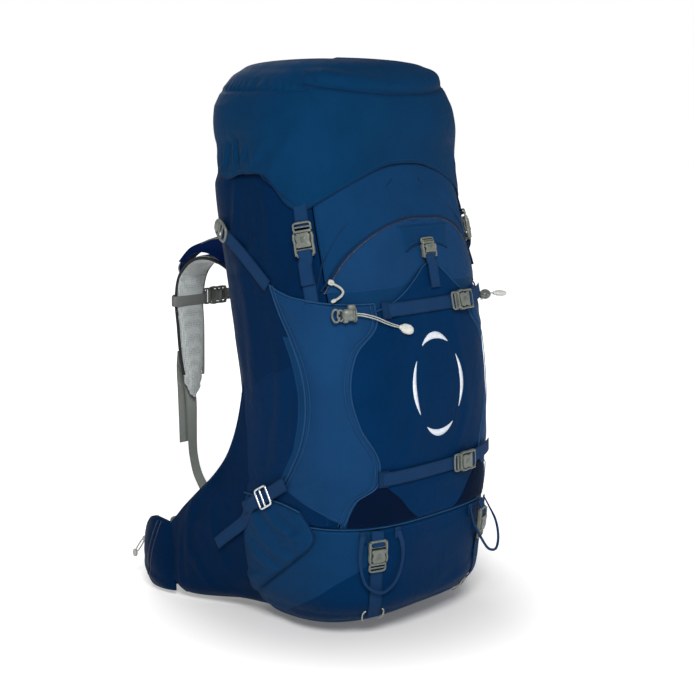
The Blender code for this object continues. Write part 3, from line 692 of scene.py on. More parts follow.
def webbing_finish(name, colour, width=WEB):
    """Woven strap: ribs across, a herringbone running along it, and darker bound edges."""
    made, tree, shader = material(name, 0.7, sheen=0.03, tint=(0.4, 0.6, 1.0))
    shader.inputs["Specular IOR Level"].default_value = 0.05
    uv = node(tree, "SeparateXYZ", {0: node(tree, "UVMap", uv_map="cloth").outputs[0]})
    across, along = uv.outputs[0], uv.outputs[1]
    from_middle = sums(tree, "ABSOLUTE", across)
    slant = sums(tree, "ADD", along, sums(tree, "PINGPONG", across, 0.0024))
    rib = sums(tree, "MULTIPLY_ADD", sums(tree, "SINE", sums(tree, "MULTIPLY", slant, 2 * math.pi / 0.0014)),
               0.5, 0.5)
    edge = sums(tree, "MULTIPLY_ADD", from_middle, 1 / 0.0012, -(width / 2 - 0.0024) / 0.0012, clamp=True)
    worn = placed(tree, "tone", Vector=node(tree, "TexCoord").outputs["Object"], Patch=25.0)
    base = mixed(tree, rib, shade(colour, 0.72), shade(colour, 1.15))
    base = mixed(tree, sums(tree, "MULTIPLY", edge, 0.55), base, shade(colour, 0.35))
    base = mixed(tree, sums(tree, "MULTIPLY", worn["Mask"], 0.3), base, shade(colour, 1.35))
    tree.links.new(base, shader.inputs["Base Color"])
    tree.links.new(sums(tree, "MULTIPLY_ADD", rib, 0.12, 0.64), shader.inputs["Roughness"])
    raised(tree, shader, [(rib, 0.25 * MM)])
    return made


def moulded(name, colour, rough=0.42):
    """Acetal buckle plastic: fine grain, and paler rubbed spots."""
    made, tree, shader = material(name, rough)
    mark = placed(tree, "grain", Vector=node(tree, "TexCoord").outputs["Object"])
    base = mixed(tree, mark["Rubbed"], colour, shade(colour, 1.3))
    tree.links.new(base, shader.inputs["Base Color"])
    tree.links.new(sums(tree, "MULTIPLY_ADD", mark["Rubbed"], 0.14, rough - 0.05),
                   shader.inputs["Roughness"])
    raised(tree, shader, [(mark["Height"], 0.06 * MM)])
    return made


def brushed(name, colour, rough=0.28):
    """Bare metal with fine scratches."""
    made, tree, shader = material(name, rough, metal=0.9)
    mark = placed(tree, "grain", Vector=node(tree, "TexCoord").outputs["Object"], Scale=1600.0)
    tree.links.new(mixed(tree, mark["Rubbed"], colour, shade(colour, 0.8)), shader.inputs["Base Color"])
    tree.links.new(sums(tree, "MULTIPLY_ADD", mark["Rubbed"], 0.2, rough), shader.inputs["Roughness"])
    raised(tree, shader, [(mark["Height"], 0.03 * MM)])
    return made


def knit(name, colour, holes=0.0032, depth=0.5 * MM):
    """Spacer mesh: rows of round holes, every second row set half a hole along, over a darker core."""
    made, tree, shader = material(name, 0.85, sheen=0.3, tint=(0.9, 0.95, 1.0))
    place = node(tree, "TexCoord").outputs["Object"]
    cells = node(tree, "TexVoronoi", {"Vector": place, "Scale": 1 / holes, "Randomness": 0.25})
    open_part = sums(tree, "MULTIPLY_ADD", cells.outputs["Distance"], -4.0, 1.9, clamp=True)
    worn = placed(tree, "tone", Vector=place, Patch=14.0)
    base = mixed(tree, worn["Mask"], shade(colour, 0.88), shade(colour, 1.1))
    base = mixed(tree, sums(tree, "MULTIPLY", open_part, 0.5), base, shade(colour, 0.4))
    tree.links.new(base, shader.inputs["Base Color"])
    raised(tree, shader, [(worn["Crumple"], 1.0 * MM), (sums(tree, "SUBTRACT", 1.0, open_part), depth)])
    return made


def braided(name, colour, pitch=0.0018):
    """Braided cord: crossing diagonal strands by its round and length map."""
    made, tree, shader = material(name, 0.75, sheen=0.02)
    shader.inputs["Specular IOR Level"].default_value = 0.08
    uv = node(tree, "SeparateXYZ", {0: node(tree, "UVMap", uv_map="cloth").outputs[0]})
    strands = []
    for sign in (1.0, -1.0):
        slant = sums(tree, "ADD", sums(tree, "MULTIPLY", uv.outputs[0], sign), uv.outputs[1])
        strands.append(sums(tree, "SINE", sums(tree, "MULTIPLY", slant, 2 * math.pi / pitch)))
    height = sums(tree, "MULTIPLY_ADD", sums(tree, "MULTIPLY", strands[0], strands[1]), 0.5, 0.5)
    worn = placed(tree, "tone", Vector=node(tree, "TexCoord").outputs["Object"], Patch=40.0)
    base = mixed(tree, height, shade(colour, 0.7), shade(colour, 1.2))
    base = mixed(tree, sums(tree, "MULTIPLY", worn["Mask"], 0.25), base, shade(colour, 1.4))
    tree.links.new(base, shader.inputs["Base Color"])
    raised(tree, shader, [(height, 0.3 * MM)])
    return made


NAVY = (0.0022, 0.0245, 0.0700)
MID = (0.0040, 0.0290, 0.0840)
LIGHT = (0.0064, 0.0350, 0.0990)
STASH = (0.0012, 0.0185, 0.0640)
DARK = (0.0010, 0.0125, 0.0450)
DEEP = (0.0010, 0.0110, 0.0400)
SHADOW = (0.0016, 0.0055, 0.0190)
ACETAL = (0.100, 0.112, 0.098)
FINISH = {
    "lid": cloth("lid_nylon", NAVY),
    "front": cloth("front_nylon", MID),
    "wing": cloth("wing_nylon", LIGHT),
    "pocket": cloth("stretch_pocket_fabric", STASH, rough=0.65),
    "side": cloth("side_nylon", DARK),
    "gusset": cloth("side_gusset_nylon", shade(DARK, 1.2)),
    "boot": cloth("boot_nylon", shade(MID, 1.03)),
    "guard": cloth("base_nylon", shade(STASH, 0.95), rough=0.5),
    "deep": cloth("belt_nylon", DEEP),
    "mesh": cloth("stretch_mesh", SHADOW, rough=0.8, thread=1.3 * MM, rip=0.0),
    "lining": cloth("lining_cloth", (0.020, 0.040, 0.080), rough=0.7),
    "webbing": webbing_finish("webbing_blue", (0.0055, 0.0300, 0.0880)),
    "narrow": webbing_finish("webbing_narrow", (0.0055, 0.0300, 0.0880), width=10 * MM),
    "grey_web": webbing_finish("webbing_grey", (0.20, 0.215, 0.20)),
    "belt_web": webbing_finish("webbing_belt", (0.16, 0.175, 0.165), width=38 * MM),
    "band": webbing_finish("sternum_band", (0.135, 0.142, 0.135)),
    "piping": braided("piping", (0.0020, 0.0190, 0.0600), pitch=0.0011),
    "pale_piping": braided("pale_piping", (0.0120, 0.0560, 0.1450), pitch=0.0011),
    "cord": braided("loop_cord", (0.006, 0.030, 0.090)),
    "grey_cord": braided("grey_cord", (0.36, 0.37, 0.34)),
    "buckle": moulded("buckle_acetal", ACETAL),
    "dark_buckle": moulded("buckle_dark", (0.075, 0.082, 0.072)),
    "tip": moulded("bungee_tip", (0.46, 0.47, 0.44)),
    "silver": brushed("silver", (0.70, 0.73, 0.76)),
    "coil": moulded("zip_coil", (0.0030, 0.0100, 0.034), rough=0.35),
    "knit": knit("harness_knit", (0.36, 0.385, 0.385)),
    "pad": knit("back_mesh", (0.055, 0.062, 0.066), holes=0.0045, depth=0.9 * MM),
    "binding": webbing_finish("edge_binding", (0.030, 0.033, 0.034), width=8 * MM),
    "reflective": moulded("reflective_print", (0.56, 0.60, 0.66), rough=0.34),
    "sheet": moulded("frame_sheet_plastic", (0.012, 0.012, 0.013), rough=0.5),
    "webbing_plain": cloth("lifter_cloth", (0.0016, 0.0090, 0.050), rough=0.7, thread=1.0 * MM, rip=0.0),
    "lining_plain": cloth("divider_cloth", (0.012, 0.030, 0.070), rough=0.7, flat=False),
    "belt": cloth("belt_pad_cloth", DEEP, flat=False, thread=0.9 * MM),
}


# ---- cords --------------------------------------------------------------------------------------
# Routes of the free cords, left then right: (bearing, height, stand-off in mm).
TOOL_LOOPS = ([(-46, 0.166, 4), (-47, 0.148, 6), (-47, 0.118, 9), (-44, 0.090, 10), (-37, 0.078, 10),
               (-31, 0.090, 9), (-27, 0.118, 7), (-27, 0.148, 6), (-29, 0.166, 4)],
              [(47, 0.166, 4), (48, 0.152, 11), (48, 0.130, 23), (45, 0.108, 31), (40, 0.098, 33),
               (35, 0.103, 28), (32, 0.120, 18), (29, 0.146, 9), (29, 0.166, 4)])
BUNGEES = ([(-50, 0.479, 8), (-45, 0.479, 8.6), (-38, 0.473, 8.6), (-31, 0.463, 8.4), (-23, 0.455, 8.2)],
           [(51, 0.472, 8), (55, 0.475, 11), (59, 0.475, 18), (61, 0.474, 27), (62, 0.472, 37)])
CORD_D = 4 * MM


def circle(diameter, count=10):
    a = np.linspace(0, 2 * np.pi, count, endpoint=False)
    return np.stack([diameter / 2 * np.cos(a), diameter / 2 * np.sin(a)], -1)


def route_of(points, count=30):
    bearing, z, out = np.array(points, float).T
    return through(skin(BODY, bearing, z, out * MM), count)


def tool_loops():
    """Flat webbing where it leaves the seam, rolled to a cord below: width / height goes from 3 to 1."""
    for (side, _), points in zip(SIDES, TOOL_LOOPS):
        path = route_of(points, 60)
        out = path - [0, -0.03, 0]
        out[:, 2] = 0
        share = np.linspace(0, 1, len(path))
        flat = np.exp(-(share / 0.16) ** 2) + np.exp(-((1 - share) / 0.16) ** 2)
        scale = np.stack([1 + 0.9 * flat, 1 - 0.45 * flat], -1)
        name = f"tool_loop_{side}"
        loop = strand(name, path, out, circle(CORD_D, 12), "cord", "pack", scale, own=name)


def bungees():
    """Two thin strands side by side from a cord lock to an oval tip."""
    for (side, sign), points in zip(SIDES, BUNGEES):
        path = route_of(points, 40)
        up = normals(BODY, np.linspace(points[0][0], points[-1][0], 40),
                     0.46) if sign < 0 else np.array([[0, 0, 1.0]] * 40)
        width = 0.9 + 0.5 * np.sin(np.linspace(0, np.pi, 40))
        strands = []
        for shift in mm(-1.1, 1.1):
            profile = circle(1.8 * MM, 8)[None] + np.stack([shift * width, 0 * width], -1)[:, None]
            strands.append(carried(path, up, profile))
        along = path[-1] - path[-2]
        axes = axes_of(along, up[-1])
        end = path[-1] + axes[0] * 9 * MM
        tip = assemble(f"bungee_tip_{side}", [lump(end, mm(12, 7.4, 4.6), 2.3, 11, 20, axes),
                                              lump(end - axes[0] * 11 * MM, mm(4, 3.6, 3), 2.4, 7, 12,
                                                   axes)],
                       "tip", "pack", slot=f"bungee_{side}")
        cord = assemble(f"bungee_{side}", strands, "grey_cord", "pack", own=f"bungee_{side}")
        lock_at = 2 if sign < 0 else 16
        cord_lock(side, path[lock_at], axes_of(path[lock_at + 1] - path[lock_at], up[3]),
                  1.35 if sign < 0 else 1.1)


def axes_of(along, up):
    """Right-handed unit axes (along, across, up) from a direction and a rough up."""
    along = along / np.linalg.norm(along)
    across = np.cross(up, along)
    across /= np.linalg.norm(across)
    return np.stack([along, across, np.cross(along, across)])


def cord_lock(side, at, axes, size=1.0):
    """Toggle: a barrel, its sprung button, and the small knots of cord behind it."""
    parts = [lump(at, mm(8, 6.5, 5.5), 3.2, 11, 20, axes),
             lump(at + axes[0] * 3 * MM + axes[1] * 7 * MM, mm(4.2, 3.6, 4), 3.5, 9, 16, axes),
             lump(at - axes[0] * 4 * MM - axes[1] * 6 * MM, mm(3, 2.4, 3.4), 2.4, 9, 14, axes)]
    turn = np.linspace(0.2, 2 * np.pi - 0.2, 24)
    for offset, reach in ((-9, 5.5), (-14, 6.5)):
        ring = at + axes[0] * (offset + reach * 0.6 * np.cos(turn[:, None])) * MM
        ring = ring + axes[1] * reach * np.sin(turn[:, None]) * MM + axes[2] * 1 * MM
        parts.append(carried(ring, axes[2], circle(2.2 * MM, 8)))
    for shift in (4.5, 6.5):
        ring = (at + axes[0] * shift * MM + axes[1] * 7.2 * MM * np.cos(turn[:, None])
                + axes[2] * 6.2 * MM * np.sin(turn[:, None]))
        parts.append(carried(ring, axes[0], circle(1.7 * MM, 8)))
    parts = [(at + (points - at) * size, faces, uv) for points, faces, uv in parts]
    assemble(f"cord_lock_{side}", parts, "buckle", "pack", slot=f"bungee_{side}")


# ---- the bag ------------------------------------------------------------------------------------
def boot_relief(bearing, z):
    """Soft slump of the base: a low roll above the floor, and creases that fan from the wing's foot."""
    u = spread(bearing)
    b = np.abs(bearing)
    out = relief(bearing, z) + 1.5 * MM * hill(z, 0.045, 0.03)
    for at, z0, angle, size in ((-84, 0.090, 38, 2.0), (-70, 0.060, 30, 1.6), (-97, 0.055, 25, 1.8),
                                (-20, 0.150, -8, 1.0), (22, 0.060, 12, 1.2), (-110, 0.120, 60, 1.5)):
        out = out + crease(u, z, (float(spread(at)), z0), angle, 0.055, 0.008, size * MM)
        out = out + crease(u, z, (float(spread(-at)), z0), -angle, 0.055, 0.008, size * 0.8 * MM)
    groove = hill(b, 39.5, 3.2) * ramp(z, 0.03, 0.03)
    front = fall(b, 75, 30)
    return out - 2.0 * MM * groove - 9.0 * MM * front * np.exp(-(z / 0.026) ** 1.5)


def boot_folds(u, z):
    bearing = u / spread(1)
    return boot_relief(bearing, z) - relief(bearing, z)


def boot():
    """Bottom compartment, open above: floor, outside, rolled rim and lining in one closed surface."""
    turn = np.linspace(-180, 180, 241)[:-1]
    heights = np.concatenate([0.006 * np.linspace(0, 1, 5), np.linspace(0.010, BOOT_TOP - 0.4 * MM, 56)])
    b, z = np.meshgrid(turn, heights)
    edge = BOOT_TOP - 0.4 * MM - z
    low = np.clip(z / 0.02, 0, 1)
    out = boot_relief(b, z) * low - 1.0 * MM * np.exp(-edge / (2.5 * MM))
    outer = skin(BODY, b, z, out)
    outer[..., 2] = np.maximum(outer[..., 2], 0.0)
    inner_z = np.linspace(BOOT_TOP - 0.4 * MM, 0.014, 14)
    bi, zi = np.meshgrid(turn, inner_z)
    inner = skin(BODY, bi, zi, -4.0 * MM)
    inner[-1, :, 2] = outer[0, :, 2] + 9 * MM
    share = np.linspace(0.15, 0.95, 8)[:, None, None]
    base = outer[0].mean(0) + (outer[0] - outer[0].mean(0)) * share
    floor = inner[-1].mean(0) + (inner[-1] - inner[-1].mean(0)) * share[::-1]
    rings = np.concatenate([base, outer, inner, floor])
    points, faces, _ = capped(rings, np.stack([outer[0].mean(0), inner[-1].mean(0)]))
    all_b = np.broadcast_to(turn, rings.shape[:2])
    uv = np.stack([spread(all_b), rings[..., 2]], -1)
    seam = np.full_like(uv, 0.5)
    seam[8:8 + len(heights), :, 0] = spread(b)
    seam[8:8 + len(heights), :, 1] = edge
    mesh = build_mesh("boot_shell", points, faces, uv, seam)
    piece("boot_shell", mesh, "boot", "pack", own="boot_shell")


def boot_guards():
    """Tougher cloth round the base, its upper seam sweeping up towards the front straps."""
    for side, sign in SIDES:
        left = [(-103, 0.0055), (-100, 0.007), (-97, 0.0105)]
        right = [(-41, 0.0055), (-41, 0.070), (-41, 0.124)]
        left, right = mirror_edges(left, right, sign)
        panel(f"boot_guard_{side}", left, right, "guard", lift=1.0 * MM, puff=0.4 * MM, low=0.1 * MM,
              roll=1.2 * MM, rows=50, cols=70, folds=boot_folds,
              slot="boot_shell")
    left, right = [(-38, 0.0055), (-38, 0.09), (-38, 0.170)], [(38, 0.0055), (38, 0.09), (38, 0.170)]
    panel("boot_front", left, right, "guard", lift=1.0 * MM, puff=1.2 * MM, low=0.1 * MM, roll=1.2 * MM,
          rows=60, cols=90, folds=boot_folds,
          slot="boot_shell")


def seam_piping(name, edge, out, finish, diameter=2.6 * MM, count=80, width=1.0, **place):
    """Corded seam: a round bead carried along drawn (bearing, height) points on the skin."""
    bearing, z = drawn(edge, count).T
    path = skin(BODY, bearing, z, out + relief(bearing, z))
    strand(name, path, normals(BODY, bearing, z), circle(diameter, 8) * [width, 1], finish, "pack", **place)


# Folds: bearing, height, angle, length, width and ridge in mm, as on the left side.
SIDE_FOLDS = [(-100, 0.610, 75, 0.045, 0.007, 2.2), (-92, 0.560, 40, 0.05, 0.008, 2.0),
              (-86, 0.330, 82, 0.09, 0.010, 1.8), (-101, 0.440, 88, 0.10, 0.011, 1.6),
              (-78, 0.600, 85, 0.05, 0.008, 1.3), (-95, 0.240, 45, 0.06, 0.008, 2.0),
              (-66, 0.560, 78, 0.05, 0.007, 1.4), (-112, 0.300, 85, 0.12, 0.010, 1.6),
              (-104, 0.520, 20, 0.03, 0.006, 1.6)]
FRONT_FOLDS = [(-50, 0.585, 62, 0.05, 0.007, 1.4), (-38, 0.625, 35, 0.05, 0.008, 1.2),
               (50, 0.585, 118, 0.05, 0.007, 1.4), (38, 0.625, 145, 0.05, 0.008, 1.2),
               (0, 0.640, 2, 0.06, 0.009, 0.9)]
WING_FOLDS = [(-74, 0.485, -35, 0.035, 0.006, 1.2), (-60, 0.470, -12, 0.05, 0.008, 1.0),
              (-58, 0.245, 55, 0.04, 0.007, 1.0), (-70, 0.235, 30, 0.03, 0.006, 1.3),
              (-52, 0.440, 20, 0.035, 0.007, 1.0), (-63, 0.330, 88, 0.08, 0.011, 0.9)]
STASH_FOLDS = [(-20, 0.300, 70, 0.08, 0.010, 1.3), (24, 0.400, 100, 0.08, 0.010, 1.2),
               (-6, 0.500, 10, 0.04, 0.006, 1.2), (20, 0.280, 60, 0.05, 0.008, 1.0),
               (-30, 0.430, 50, 0.05, 0.008, 1.4), (10, 0.225, 5, 0.07, 0.009, 1.5)]
POCKET_FOLDS = [(-92, 0.135, -32, 0.045, 0.0065, 4.2), (-84, 0.165, -25, 0.035, 0.0060, 3.8),
                (-100, 0.110, -35, 0.04, 0.0065, 3.4), (-104, 0.075, 20, 0.03, 0.0060, 2.4),
                (-78, 0.150, 35, 0.025, 0.0055, 2.4), (-98, 0.160, -38, 0.04, 0.0055, 3.0)]
LID_FOLDS = [(-104, 0.694, 84, 0.018, 0.0050, -2.4), (-96, 0.701, 98, 0.026, 0.0056, -2.8),
             (-88, 0.698, 74, 0.020, 0.0050, -2.2), (-79, 0.690, 46, 0.022, 0.0056, -2.0),
             (-98, 0.716, 20, 0.030, 0.0060, -2.2), (-70, 0.690, 55, 0.05, 0.008, 1.8),
             (-84, 0.735, 15, 0.05, 0.010, 1.6), (-40, 0.700, 40, 0.06, 0.010, 1.2),
             (-50, 0.655, 70, 0.04, 0.007, 1.5)]


def folded(u, z, folds, bend):
    """The sum of a list of folds."""
    return sum(crease(u, z, (float(spread(at)), z0), angle, length, width, height * MM, bend)
               for at, z0, angle, length, width, height in folds)


def mirrored(folds, sign, bend):
    """A panel's folds as drawn for the left side, or their mirror image for the right side."""
    return lambda u, z: folded(spread(u / spread(1) * -sign), z, folds, bend)


def walls():
    low = BOOT_TOP + 0.4 * MM

    def edge(bearing):
        top = 0.698 if abs(bearing) > 100 else 0.694
        return [(bearing, low), (bearing, (low + top) / 2), (bearing, top)]

    gap = 0.25
    spec = dict(lift=0.4 * MM, puff=1.6 * MM, swell=45 * MM, low=-1.2 * MM, depth=-4.2 * MM)
    panel("front_panel", edge(-FRONT_EDGE + gap), edge(FRONT_EDGE - gap), "front", rows=120, cols=110,
          own="front_panel", folds=front_folds, **spec)
    for side, sign in SIDES:
        left, right = mirror_edges(edge(-BACK_EDGE + gap), edge(-FRONT_EDGE - gap), sign)
        panel(f"side_panel_{side}", left, right, "side", rows=120, cols=80,
              folds=mirrored(SIDE_FOLDS, sign, 0.08),
              own=f"side_panel_{side}", **spec)
        rear = [(-127, 0.176), (-127, 0.26), (-127, 0.335)]
        fore = [(-60, 0.176), (-60, 0.30), (-60, 0.432)]
        left, right = mirror_edges(rear, fore, sign)
        panel(f"side_gusset_{side}", left, right, "gusset", rows=60, cols=60, lift=2.0 * MM, puff=0.9 * MM,
              roll=1.6 * MM, low=0.4 * MM, folds=mirrored(SIDE_FOLDS, sign, 0.08), bow=(0, 4 * MM),
              slot=f"side_panel_{side}")
    panel("back_panel", edge(BACK_EDGE + gap), edge(360 - BACK_EDGE - gap), "side", rows=100, cols=70,
          own="back_panel", **spec)


def front_folds(u, z):
    """Pulls of the upper front: creases that run from the lid straps and the pocket's arch."""
    return folded(u, z, FRONT_FOLDS, 0.1)


def collar():
    """Gathered collar of the mouth: a thin tube whose out swings with cos(34 b), more towards the top."""
    turn = np.linspace(-180, 180, 481)[:-1]
    rise = np.linspace(PANEL_TOP - 0.018, 0.7045, 20)
    b, z = np.meshgrid(turn, rise)
    share = (z - rise[0]) / (rise[-1] - rise[0])
    wave = np.cos(np.radians(b * 34)) + 0.5 * np.cos(np.radians(b * 57) + 1.3)
    out = -7.6 * MM - 1.4 * MM * share * (1 - wave)
    uv = np.stack([spread(b), z], -1)
    sewn("collar", skin(BODY, b, z, out), skin(BODY, b, z, out - 0.9 * MM), uv, None, "lining", "pack",
         wrap=True, own="collar")


def finish_cad(name, finish):
    """A CAD node that shows as it is, with its own finish."""
    obj = frame["nodes"][name]
    obj.data.materials.clear()
    obj.data.materials.append(FINISH[finish])


WING_REAR = [(-85, 0.223), (-84, 0.230), (-80, 0.252), (-75, 0.285), (-71, 0.340), (-72, 0.403),
             (-76, 0.447), (-80, 0.480), (-83, 0.516)]
WING_FRONT = [(-54, 0.180), (-49, 0.216), (-40, 0.236), (-39, 0.262), (-48, 0.324), (-51, 0.370),
              (-47, 0.425), (-36, 0.466), (-36, 0.492)]
POCKET_REAR = [(-118, 0.030), (-118, 0.070), (-118, 0.110), (-118, 0.150), (-118, 0.196)]
POCKET_FRONT = [(-104, 0.055), (-90, 0.088), (-78, 0.118), (-67, 0.158), (-74, 0.195)]
ARCH_LEFT = [(-57, 0.508), (-53, 0.525), (-46, 0.552), (-33, 0.580), (-18, 0.597), (-4, 0.604)]
ARCH_RIGHT = [(53, 0.508), (51, 0.530), (47, 0.558), (39, 0.584), (28, 0.599), (10, 0.604)]


def outer_panels():
    for side, sign in SIDES:
        rear, fore = mirror_edges(WING_REAR, WING_FRONT, sign)
        panel(f"wing_{side}", rear, fore, "wing", lift=3.4 * MM, puff=2.0 * MM, low=1.4 * MM, rows=110,
              cols=70, roll=2.0 * MM, swell=35 * MM, folds=mirrored(WING_FOLDS, sign, 0.1), bow=(0, -9 * MM),
              own=f"wing_{side}")
        strip = [(b - 4.5, z) for b, z in WING_REAR[1:7]]
        inset = [(b + 1.5, z) for b, z in WING_REAR[1:7]]
        left, right = mirror_edges(strip, inset, sign)
        panel(f"wing_strip_{side}", left, right, "front", lift=3.0 * MM, puff=0.6 * MM, low=1.2 * MM,
              roll=1.0 * MM, rows=60, cols=14, slot=f"wing_{side}")
        for line, drift in (("outer", 0.0), ("inner", 2.6)):
            edge = [(-sign * (b - drift), z) for b, z in WING_FRONT]
            seam_piping(f"wing_piping_{line}_{side}", edge, (3.0 + drift * 0.9) * MM, "pale_piping",
                        diameter=(2.6 if drift == 0 else 1.2) * MM, slot=f"wing_{side}")
            edge = [(-sign * (b + drift), z) for b, z in WING_REAR]
            seam_piping(f"wing_back_piping_{line}_{side}", edge, (3.0 + drift * 0.9) * MM, "pale_piping",
                        diameter=(2.4 if drift == 0 else 1.2) * MM, slot=f"wing_{side}")
        top = [(-83, 0.516), (-76, 0.5055), (-65, 0.4985), (-55, 0.4945), (-45, 0.4925), (-36, 0.492)]
        seam_piping(f"wing_top_piping_{side}", [(-sign * b, z) for b, z in top], 3.2 * MM, "pale_piping",
                    diameter=2.4 * MM, slot=f"wing_{side}")
    stretch_pocket()
    upper_pocket()


POCKET_HEM = [(-36, 0.481), (-27, 0.489), (-16, 0.504), (-6, 0.521), (3, 0.537), (9, 0.541), (15, 0.534),
              (24, 0.512), (36, 0.484)]


def front_pocket_folds(u, z):
    return folded(u, z, STASH_FOLDS, 0.08)


def stretch_pocket():
    """Front stash pocket: from the base seam to a hem that rises under the flap's buckle."""
    hem = np.array(POCKET_HEM, float)
    cols, rows = 110, 110
    u = np.linspace(-1, 1, cols)
    v = np.linspace(0, 1, rows)[:, None]
    foot = 0.176
    front = np.array(WING_FRONT)
    top = smooth(u * 36, hem[:, 0], hem[:, 1])
    z = foot + (top - foot) * v
    half = -np.interp(z, front[:, 1], front[:, 0]) + 1.5
    half = np.where(z < 0.236, 41.5 + (z - 0.236) * 90, half)
    bearing = half * u
    d, along = edge_distance(skin(BODY, bearing, z))
    ground = relief(bearing, z)
    over = 2.6 * MM * ramp(z, 0.470, 0.03)
    crown = 4.0 * MM * hill(z, 0.36, 0.13) * (1 - u ** 2)
    strap = hill(z, 0.245, 0.014) + 0.8 * hill(z, 0.481, 0.012)
    out = ground + 1.0 * MM + 1.6 * MM * (1 - np.exp(-d / (2 * MM))) + over + crown - 1.3 * MM * strap
    out = out + front_pocket_folds(spread(bearing), z) * np.clip(d / (8 * MM), 0, 1)
    outer, inner = skin(BODY, bearing, z, out), skin(BODY, bearing, z, ground + 0.6 * MM + over * 0.8)
    sewn("stretch_pocket", outer, inner, np.stack([spread(bearing), z], -1), np.stack([along, d], -1),
         "pocket",
         "pack", own="stretch_pocket")
    seam_piping("stretch_pocket_hem", POCKET_HEM, 5.4 * MM, "pale_piping", diameter=1.8 * MM,
                slot="stretch_pocket")
    for side, sign in SIDES:
        rear = [(-53, 0.177), (-51, 0.197), (-47, 0.219), (-40, 0.234)]
        fore = [(-14, 0.177), (-20, 0.190), (-27, 0.212), (-36, 0.234)]
        left, right = mirror_edges(rear, fore, sign)
        panel(f"mesh_corner_{side}", left, right, "mesh", lift=3.6 * MM, puff=0.6 * MM, low=2.0 * MM,
              roll=1.2 * MM, rows=30, cols=30, slot="stretch_pocket")


def teeth(count, size):
    """Scale of a zip coil along its length: every third step larger or smaller."""
    step = 1 + size * np.sign(np.sin(np.arange(count) * np.pi / 1.5))
    return np.stack([step, step], -1)


def upper_pocket():
    """Lighter pocket under its arched zip, flatter where the stash pocket's hem lies over it."""
    def flatten(u, z):
        hem = np.array(POCKET_HEM, float)
        top = np.interp(u / spread(1), hem[:, 0], hem[:, 1], 0.478, 0.478)
        return -2.6 * MM * np.clip((top + 0.008 - z) / 0.016, 0, 1)

    panel("upper_pocket", ARCH_LEFT, ARCH_RIGHT, "wing", lift=2.2 * MM, puff=3.2 * MM, low=0.4 * MM, rows=70,
          cols=110, roll=1.8 * MM, swell=30 * MM, folds=flatten, own="upper_pocket")
    arch = ARCH_LEFT + [(3, 0.605)] + ARCH_RIGHT[::-1]
    bearing, z = drawn(arch, 420).T
    path = skin(BODY, bearing, z, relief(bearing, z) + 1.2 * MM)
    up = normals(BODY, bearing, z)
    strand("arch_zip", path, up, circle(3.0 * MM, 8), "coil", "pack", teeth(420, 0.28), slot="upper_pocket")
    seam_piping("arch_flap", [(b * 1.02, z + 0.003) for b, z in arch], 1.6 * MM, "piping", diameter=2.2 * MM,
                slot="upper_pocket", count=120, width=1.4)
    yoke = [(-60, 0.512), (-58, 0.528), (-56, 0.546), (-52, 0.566), (-45, 0.594), (-35, 0.619), (-18, 0.647),
            (-11, 0.662)]
    for side, sign in SIDES:
        seam_piping(f"front_seam_{side}", [(-sign * b, z) for b, z in yoke], 0.6 * MM, "piping",
                    diameter=2.2 * MM, slot="front_panel")


def side_pockets():
    for side, sign in SIDES:
        left, right = mirror_edges(POCKET_REAR, POCKET_FRONT, sign)
        panel(f"side_pocket_{side}", left, right, "front", lift=3.8 * MM, puff=4.5 * MM, low=1.6 * MM,
              rows=70, cols=70, roll=2.0 * MM, swell=22 * MM, folds=mirrored(POCKET_FOLDS, sign, 0.12),
              bow=(0, 6 * MM), own=f"side_pocket_{side}")
        edge = [(-sign * b, z) for b, z in POCKET_FRONT]
        seam_piping(f"side_pocket_piping_{side}", edge, 2.6 * MM, "piping", diameter=2.2 * MM,
                    slot=f"side_pocket_{side}")
        top = [(-118, 0.196), (-104, 0.2005), (-90, 0.2015), (-80, 0.199), (-74, 0.195)]
        seam_piping(f"side_pocket_hem_{side}", [(-sign * b, z) for b, z in top], 4.6 * MM, "pale_piping",
                    diameter=2.6 * MM, slot=f"side_pocket_{side}")


def boot_seams():
    turn = [(b, BOOT_TOP + 1.5 * MM) for b in np.linspace(-127, 127, 60)]
    seam_piping("boot_seam", turn, 0.9 * MM, "pale_piping", diameter=2.2 * MM, count=200, slot="boot_shell")


def emblem():
    """Four plain reflective crescents in a ring on the front pocket: a generic mark."""
    centre, size = (2.0, 0.367), (0.0600, 0.0705)
    for name, turn, half, bulk in (("top", 90, 34, 0.0092), ("bottom", 270, 34, 0.0092),
                                   ("left", 180, 33, 0.0066), ("right", 0, 33, 0.0066)):
        a = np.radians(turn + np.linspace(-half, half, 40))
        share = np.linspace(-1, 1, 40)
        thick = bulk * (1 - share ** 2) + 0.0005
        across = np.array([[-0.5], [0.5]]) * thick
        x = (size[0] + across) * np.cos(a)
        z = centre[1] + (size[1] + across) * np.sin(a)
        bearing = centre[0] + np.degrees(x / ROUND)
        crown = 4.0 * MM * hill(z, 0.36, 0.13) * (1 - (bearing / 46) ** 2)
        out = relief(bearing, z) + 2.6 * MM + crown + front_pocket_folds(spread(bearing), z)
        points, faces = slab(skin(BODY, bearing, z, out + 0.45 * MM), skin(BODY, bearing, z, out - 0.3 * MM))
        piece(f"emblem_{name}", build_mesh(f"emblem_{name}", points, faces), "reflective", "pack",
              slot="stretch_pocket")


# ---- lid ----------------------------------------------------------------------------------------
HEM_AT = [0, 15, 30, 44, 55, 58, 64, 66, 74, 90, 112, 120, 180]
HEM_Z = [0.685, 0.682, 0.668, 0.648, 0.629, 0.624, 0.624, 0.628, 0.662, 0.670, 0.668, 0.697, 0.6995]


